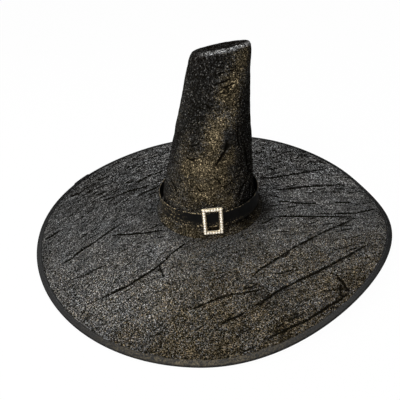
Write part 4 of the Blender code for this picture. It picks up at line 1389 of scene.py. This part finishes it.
lining_bearings = circle(LINING_AROUND)
lining_z = np.linspace(CROWN_TOP - TIP_EDGE, BRIM_UNDER, LINING_RINGS)
band_top = BRIM_UNDER + SWEATBAND_HEIGHT
gathered = ease(share(lining_z, band_top, band_top + GATHER_FADE))
loose = gathered * (1 - TIGHT_TOP * share(lining_z, CROWN_TOP - GATHER_FADE, CROWN_TOP - TIP_EDGE))
pleat = 0.5 + 0.5 * waves(lining_bearings, PLEATS, 9)
inner_r = (cone(lining_z) - LINING_OFFSET - LINING_LOOSE * gathered)[:, None]
inner_r = inner_r - PLEAT_DEPTH * loose[:, None] * pleat
outer_r = inner_r + LINING
gathered_r = inner_r[::-1] - LINING * (1 - gathered[::-1, None])
lining_r = np.vstack([outer_r[::LINING_STEP], outer_r[-1:], gathered_r])
lining_heights = np.concatenate([lining_z[::LINING_STEP], lining_z[-1:], lining_z[::-1]])[:, None]
lining_x, lining_y = lining_r * np.cos(lining_bearings), lining_r * np.sin(lining_bearings)
lining_rings = np.stack(np.broadcast_arrays(lining_x, lining_y, lining_heights), axis=-1)
crown_lining = skin(
    "crown_lining_cloth",
    settle(lining_rings),
    cloth=flat_cloth(lining_bearings[None, :] * LINING_MIDDLE, lining_heights),
)
crown_lining.data.materials.append(lining_look)
dress(crown_lining, "hat", "black_lining", "crown_lining")

# %% Tip lining
TIP_SAG, TIP_LINING_RINGS, TIP_LINING_AROUND = 0.002, 14, 120
tip_low = CROWN_TOP - LINING_OFFSET
tip_lining_r = np.linspace(TIP_SEAM - GAP - LINING_LOOSE, 0.0, TIP_LINING_RINGS)
sag = TIP_SAG * (1 - (tip_lining_r / TIP_SEAM) ** 2)
tip_lining_outline = [(r, tip_low - drop) for r, drop in zip(tip_lining_r, sag)]
tip_lining_outline += [(r, tip_low - LINING - drop) for r, drop in zip(tip_lining_r[::-1], sag[::-1])]
tip_lining_plain = turned_rings(tip_lining_outline, circle(TIP_LINING_AROUND))
tip_lining = skin(
    "tip_lining_cloth",
    settle(tip_lining_plain),
    cloth=flat_cloth(tip_lining_plain[..., 0], tip_lining_plain[..., 1]),
)
weld(tip_lining)
tip_lining.data.materials.append(lining_look)
dress(tip_lining, "hat", "black_lining", "tip_lining")

# %% Sweatband
SWEAT_RINGS, SWEAT_AROUND = 26, 300
ROLL_DEPTH, ROLL_HEIGHT, ROLL_HALF = 0.0009, 0.002, 0.0014
sweat_low = BRIM_UNDER + GAP
sweat_z = np.linspace(sweat_low + SWEATBAND_HEIGHT, sweat_low, SWEAT_RINGS)
sweat_out = cone(sweat_z) - SWEATBAND_OFFSET
roll_in = ROLL_DEPTH * soft((sweat_z - sweat_low - ROLL_HEIGHT) / ROLL_HALF)
sweat_in = sweat_out - SWEATBAND - roll_in
sweat_outline = np.vstack([np.stack([sweat_out, sweat_z], 1), np.stack([sweat_in, sweat_z], 1)[::-1]])
sweat_bearings = circle(SWEAT_AROUND)
sweatband = skin(
    "sweatband_ribbon",
    settle(turned_rings(sweat_outline, sweat_bearings)),
    cloth=flat_cloth(sweat_bearings[None, :] * CROWN_BASE_RADIUS, sweat_outline[:, 1:]),
)
sweatband.data.materials.append(sweatband_look)
dress(sweatband, "hat", "grosgrain", "sweatband")

# %% [markdown]
# ## The ribbon
# The ribbon is a loose loop that rests on the crown's flared foot and carries the buckle. It lies on an
# axis of its own, tilted to the front, which the frame's hinge for the buckle gives. The strip has woven
# edges that are a little thicker than its middle, and its end laps over its start behind the crown. Golden
# dust has come off the velvet: it lies in the ribbon's slanted folds at the left and along the lower edge at
# the front. The top thread, which catches the light, gets a painted highlight in the same dust attribute.

# %% Ribbon
RIBBON_RADIUS, RIBBON_THICKNESS, RIBBON_WIDTH, RIBBON_LAP = 0.095, 0.0006, 0.029, 20.0
RIBBON_AROUND, RIBBON_STRIPS, LAP_RAMP = 381, 21, 10.0
SELVEDGE, SELVEDGE_BULGE = 0.0016, 0.00012
DUST_MIDDLE, DUST_HALF, RIBBON_DUST = -56.0, 30.0, 2.2
FOLD_SPACING, FOLD_SLANT, FOLD_FLOOR, FOLD_DUST = 0.0105, 75.0, 0.1, 1.2
CLEAN_FROM, CLEAN_LOW, CLEAN_SHARE = (-42, -22), 0.4, 0.95
LOW_DUST, LOW_MIDDLE, LOW_HALF, LOW_REACH = 3.0, -8.0, 32.0, 0.0052
EDGE_LIGHTS = ((-45.0, 62.0, 26.0), (98.0, 16.0, 12.0))
hinge = next(joint for joint in frame["joints"] if joint["name"] == "buckle_slide")
band_centre = Vector(hinge["pos_m"])
band_axis = Vector(hinge["axis"]).normalized()
facing = Vector((math.cos(BUCKLE_BEARING), math.sin(BUCKLE_BEARING), 0.0))
facing = (facing - band_axis * facing.dot(band_axis)).normalized()
sideways = band_axis.cross(facing)


def on_band(angle, reach, height):
    """Points from angles about the band's axis, measured from the buckle, and distances out and along it."""
    angle, reach, height = (np.asarray(value, float)[..., None] for value in (angle, reach, height))
    out = np.cos(angle) * np.array(facing) + np.sin(angle) * np.array(sideways)
    return np.array(band_centre) + reach * out + height * np.array(band_axis)


# %% Rings of the ribbon
lap_rise = RIBBON_THICKNESS + GAP
ribbon_degrees = np.linspace(180 - RIBBON_LAP / 2, 540 + RIBBON_LAP / 2, RIBBON_AROUND)
lap_start = 540 - RIBBON_LAP / 2
lapped = share(ribbon_degrees, lap_start - LAP_RAMP, lap_start) * lap_rise
half = RIBBON_WIDTH / 2
middle_strip = np.linspace(-half + 2 * SELVEDGE, half - 2 * SELVEDGE, RIBBON_STRIPS)
across = np.concatenate([[-half, -half + SELVEDGE], middle_strip, [half - SELVEDGE, half]])
edge_bulge = SELVEDGE_BULGE * soft((half - np.abs(across)) / SELVEDGE)
outer_face = RIBBON_RADIUS + edge_bulge
inner_face = RIBBON_RADIUS - RIBBON_THICKNESS - edge_bulge
ribbon_reach = np.concatenate([outer_face, inner_face[::-1]])
ribbon_across = np.concatenate([across, across[::-1]])
ribbon_angle = np.radians(ribbon_degrees)
around = ribbon_angle[:, None] + 0 * ribbon_reach
ribbon_rings = on_band(around, ribbon_reach + lapped[:, None], ribbon_across + 0 * around)
from_buckle = turn_from(ribbon_degrees, 0.0)
turned_from = from_buckle[:, None]
folds = 0.5 + 0.5 * np.cos(2 * math.pi * (ribbon_across / FOLD_SPACING + turned_from / FOLD_SLANT))
clean = ease(share(turned_from, *CLEAN_FROM)) * ease(share(ribbon_across, -CLEAN_LOW * half, 0.0))
ribbon_dust = RIBBON_DUST * soft((turned_from - DUST_MIDDLE) / DUST_HALF)
ribbon_dust = ribbon_dust * (FOLD_FLOOR + FOLD_DUST * folds**2) * (1 - CLEAN_SHARE * clean)
low_dust = LOW_DUST * soft((turned_from - LOW_MIDDLE) / LOW_HALF, (ribbon_across + half) / LOW_REACH)
ribbon_dust = np.maximum(ribbon_dust, low_dust)
# Painted highlight along the top thread, where it catches the light, carried in the dust attribute.
top_thread_highlight = sum(dust * soft((turned_from - middle) / width) for middle, width, dust in EDGE_LIGHTS)
top_thread = ribbon_across > half - 0.5 * SELVEDGE
ribbon = skin(
    "hat_ribbon",
    ribbon_rings,
    closed=False,
    cloth=flat_cloth(ribbon_angle[:, None] * RIBBON_RADIUS, ribbon_across[None, :]),
    dust=np.where(top_thread, top_thread_highlight, ribbon_dust),
)
ribbon.data.materials.append(ribbon_look)
ribbon.data.set_sharp_from_angle(angle=math.radians(50))
dress(ribbon, "band", "black_ribbon", "ribbon")

# %% [markdown]
# ## Stones in their cups
# Each stone on the buckle sits in a small cup with a rolled rim. Thirty of them could be placed by hand,
# but they repeat, so one tree sets a stone and a cup on every point that the frame gives. The stone is
# two blunt cones, foot to foot, and its flat top is the table. A foil behind each stone sends light back
# through it: a faint glow, in patches smaller than a stone, stands for that.

# %% Stone seats
BUCKLE_LEAN = math.radians(4.5)
STONES = sorted(name for name in frame["nodes"] if name.startswith("stone_"))
buckle_facing = facing * math.cos(BUCKLE_LEAN) + band_axis * math.sin(BUCKLE_LEAN)
outwards = np.array(buckle_facing)
seat_points, stone_radius = [], 0.0
for name in STONES:
    corners = np.array([vertex.co for vertex in frame["nodes"][name].data.vertices])
    middle = corners.mean(axis=0)
    seat_points.append(middle + ((corners @ outwards).min() - middle @ outwards) * outwards)
    stone_radius = max(stone_radius, np.ptp(corners @ np.array(sideways)) / 2)
seat_depths = np.array(seat_points) @ outwards
print("stones sit level within mm:", round(1000 * np.ptp(seat_depths), 3))

# %% Stone trees
FACETS, CUP_WIRE, CUP_HEIGHT, CUP_SIDES, WIRE_SIDES = 12, 0.00028, 0.62, 16, 6
STONE_BASE, STONE_FOOT, STONE_TABLE, STONE_TOP, WELD = 0.6, 0.55, 0.52, 0.42, 0.00001
setting_sockets = [
    ("Geometry", "Geometry", None),
    ("Stone Radius", "Float", 0.002),
    ("Facing", "Vector", (0.0, 0.0, 1.0)),
    ("Material", "Material", None),
]


def set_on_points(given, points, instance, direction, size=(1.0, 1.0, 1.0)):
    """Sets the instance on every point, with its height along a direction, and ends the tree."""
    turned = then("FunctionNodeAlignRotationToVector", {"Vector": direction}, axis="Z")[0]
    inputs = {"Points": points, "Instance": instance, "Rotation": turned, "Scale": size}
    end_tree(given, then("GeometryNodeInstanceOnPoints", inputs)[0])


def raised(geometry, height):
    return then("GeometryNodeTransform", {"Geometry": geometry, "Translation": vector_of(z=height)})[0]


def blunt_cone(low_radius, high_radius, height):
    """A cone with its tip cut off."""
    inputs = {"Vertices": FACETS, "Radius Bottom": low_radius, "Radius Top": high_radius, "Depth": height}
    return then("GeometryNodeMeshCone", inputs, fill_type="NGON")["Mesh"]


stone_tree, given = new_group("cut_stones", "GeometryNodeTree", setting_sockets, GEOMETRY)
wide = given["Stone Radius"]
sizes = (STONE_BASE, STONE_FOOT, STONE_TABLE, STONE_TOP)
base, foot_height, table, top_height = [product(wide, size) for size in sizes]
foot = blunt_cone(base, wide, foot_height)
top = raised(blunt_cone(wide, table, top_height), foot_height)
joined = put(stone_tree, "GeometryNodeJoinGeometry")
for part in (foot, top):
    stone_tree.links.new(part, joined.inputs[0])
merging = {"Geometry": joined.outputs[0], "Distance": WELD}
merged = put(stone_tree, "GeometryNodeMergeByDistance", merging).outputs[0]
set_on_points(given, given["Geometry"], merged, given["Facing"])

cup_tree, given = new_group("stone_cups", "GeometryNodeTree", setting_sockets, GEOMETRY)
rim_radius = calc("ADD", given["Stone Radius"], CUP_WIRE * 0.6)
rings = [{"Resolution": CUP_SIDES, "Radius": rim_radius}, {"Resolution": WIRE_SIDES, "Radius": CUP_WIRE}]
rim, bead = [put(cup_tree, "GeometryNodeCurvePrimitiveCircle", ring).outputs[0] for ring in rings]
cup = put(cup_tree, "GeometryNodeCurveToMesh", {"Curve": rim, "Profile Curve": bead}).outputs[0]
cup = raised(cup, product(given["Stone Radius"], CUP_HEIGHT))
set_on_points(given, given["Geometry"], cup, given["Facing"])

# %% Stones and cups
CRYSTAL = {"Roughness": 0.06, "Metallic": 0.15, "Coat_Weight": 0.6, "Emission_Strength": 0.4}
WARM_TINT, CLEAR_TINT, FOIL_TINT = (0.98, 0.90, 0.76, 1.0), (1.0, 0.98, 0.93, 1.0), (1.0, 0.95, 0.85, 1.0)
TINT_SPOTS, TINT_SPAN, FOIL_SPOTS, FOIL_SPAN = 900.0, (0.35, 0.65), 700.0, (0.42, 0.62)
crystal_look, tree, shader = finish_of("foiled_crystal", **CRYSTAL)
place = own_place(tree)
tinted = fit(noise(place, TINT_SPOTS, 1.0), *TINT_SPAN)
tree.links.new(mix(tinted, WARM_TINT, CLEAR_TINT), shader.inputs["Base Color"])
# The foil's returned light is a painted glow: emission in patches.
returned = fit(noise(place, FOIL_SPOTS, 0.0), *FOIL_SPAN)
tree.links.new(mix(returned, grey(0.0), FOIL_TINT), shader.inputs["Emission Color"])
stones = linked("buckle_stones", seat_points)
apply_tree(stones, stone_tree, Stone_Radius=stone_radius, Facing=tuple(buckle_facing), Material=crystal_look)
dress(stones, "buckle", "crystal", *STONES)
cups = linked("stone_cups", seat_points)
apply_tree(cups, cup_tree, Stone_Radius=stone_radius, Facing=tuple(buckle_facing), Material=buckle_look)
cups.data.shade_smooth()
dress(cups, "buckle", "champagne_metal")

# %% [markdown]
# ## Stitches
# Thread holds the binding, the sweatband and the ribbon's end. A stitch is a short grain of thread, and a row
# is hundreds of them along a line on the cloth. The tree walks along a drawn line in even steps and lays one
# grain at each, turned along the line.

# %% Stitch tree
stitch_sockets = [
    ("Geometry", "Geometry", None),
    ("Stitch Length", "Float", 0.0030),
    ("Stitch Gap", "Float", 0.0012),
    ("Thread Radius", "Float", 0.00022),
    ("Material", "Material", None),
]
stitch, given = new_group("stitch_row", "GeometryNodeTree", stitch_sockets, GEOMETRY)
line = put(stitch, "GeometryNodeMeshToCurve", {0: given["Geometry"]}).outputs[0]
pace = calc("ADD", given["Stitch Length"], given["Stitch Gap"])
steps = put(stitch, "GeometryNodeResampleCurve", {"Curve": line, "Length": pace}, mode="LENGTH").outputs[0]
grain = put(stitch, "GeometryNodeMeshUVSphere", {"Segments": 6, "Rings": 5, "Radius": 1.0}).outputs["Mesh"]
half_length = product(given["Stitch Length"], 0.5)
size = vector_of(given["Thread Radius"], given["Thread Radius"], half_length)
tangent = put(stitch, "GeometryNodeInputTangent").outputs[0]
set_on_points(given, steps, grain, tangent, size)

# %% Stitch rows
STITCH_IN, THREAD_SINK, SWEAT_ROW_DROP = 0.0022, 0.00005, 0.0025
RIM_ROW, SWEAT_ROW, TAIL_ROW = 720, 240, 24
TAIL_TURN, TAIL_INSET, TAIL_RISE = 1.5, 0.002, 0.0001
THREAD_TWIST = 2600.0
thread_look, tree, shader = finish_of("black_thread", Roughness=0.6, Sheen_Weight=0.2)
twist = noise(own_place(tree), THREAD_TWIST, 1.0)
thread_tint = mix(twist, grey(0.012), (0.055, 0.053, 0.050, 1.0))
tree.links.new(thread_tint, shader.inputs["Base Color"])


def stitch_row(name, points, body, slot, closed=True):
    count = len(points)
    made = linked(name, points, [(i, (i + 1) % count) for i in range(count if closed else count - 1)])
    apply_tree(made, stitch, Material=thread_look)
    made.data.shade_smooth()
    dress(made, body, slot)


row_bearings = circle(RIM_ROW)
for name, side in (("rim_stitches_top", 1), ("rim_stitches_under", -1)):
    row_z = TAPE_MIDDLE + side * (TAPE_HALF + TAPE - THREAD_SINK)
    row = turned_rings([(TAPE_START + STITCH_IN, row_z)], row_bearings)[0]
    stitch_row(name, settle(row), "hat", "satin_tape")
sweat_row_z = sweat_low + SWEATBAND_HEIGHT - SWEAT_ROW_DROP
sweat_row_r = cone(sweat_row_z) - SWEATBAND_OFFSET - SWEATBAND
sweat_row = turned_rings([(sweat_row_r, sweat_row_z)], circle(SWEAT_ROW))[0]
stitch_row("sweatband_stitches", settle(sweat_row), "hat", "grosgrain")
tail_angle = np.full(TAIL_ROW, math.radians(180 + RIBBON_LAP / 2 - TAIL_TURN))
tail_heights = np.linspace(-half + TAIL_INSET, half - TAIL_INSET, TAIL_ROW)
tail_row = on_band(tail_angle, RIBBON_RADIUS + lap_rise + TAIL_RISE, tail_heights)
stitch_row("ribbon_end_stitches", tail_row, "band", "black_ribbon", closed=False)

# %% [markdown]
# ## Pieces that stay as the frame made them
# The boards, the rim's wire with its sleeve, the buckle's frame and its bar keep their own solids. They only
# need finishes: felted fibres for the boards, drawn steel, brass and the same worn plating for the rest.

# %% Finishes for the frame's own pieces
FELT_BUMP, FIBRES, FELT_ROUGHNESS = (0.6, 0.0004), 1500.0, (0.85, 0.98)
FELT_CLUMPS, FELT_LEVELS = 120.0, (0.5, 1.3)
felt_sockets = [("Dark", "Color", grey(0.05)), ("Light", "Color", grey(0.13))]
felt, given = new_group("felted_fibres", "ShaderNodeTree", felt_sockets, surface_results)
place = own_place(felt)
fibres = noise(place, FIBRES, 3.0, 0.7, 1.5)
clumps = noise(place, FELT_CLUMPS, 3.0, 0.6)
felting = product(fibres, fit(clumps, *NOISE_SPAN, *FELT_LEVELS))
give(
    Colour=mix(felting, given["Dark"], given["Light"]),
    Roughness=fit(fibres, *NOISE_SPAN, *FELT_ROUGHNESS),
    Height=fibres,
)


def felt_finish(name, dark, light):
    made, tree, shader = finish_of(name)
    wear(tree, shader, felt, {"Dark": grey(dark), "Light": grey(light)}, *FELT_BUMP)
    return made


crown_felt_look = felt_finish("crown_felt_board", 0.045, 0.13)
brim_felt_look = felt_finish("brim_felt_board", 0.040, 0.12)
wire_look = metal_finish("drawn_steel", (0.58, 0.58, 0.60, 1.0), (0.34, 0.33, 0.32, 1.0))
sleeve_look = metal_finish("crimped_brass", (0.72, 0.56, 0.28, 1.0), (0.40, 0.29, 0.14, 1.0))
bar_look = metal_finish("plain_bar_plating", (0.10, 0.085, 0.06, 1.0), (0.035, 0.03, 0.02, 1.0))
KEPT = {
    "crown_stiffener": crown_felt_look,
    "tip_stiffener": crown_felt_look,
    "brim_stiffener": brim_felt_look,
    "brim_wire": wire_look,
    "wire_sleeve": sleeve_look,
    "buckle_frame": buckle_look,
    "buckle_bar": bar_look,
}
for name, finish in KEPT.items():
    frame["nodes"][name].material_slots[0].material = finish
print("kept from the frame:", ", ".join(KEPT))
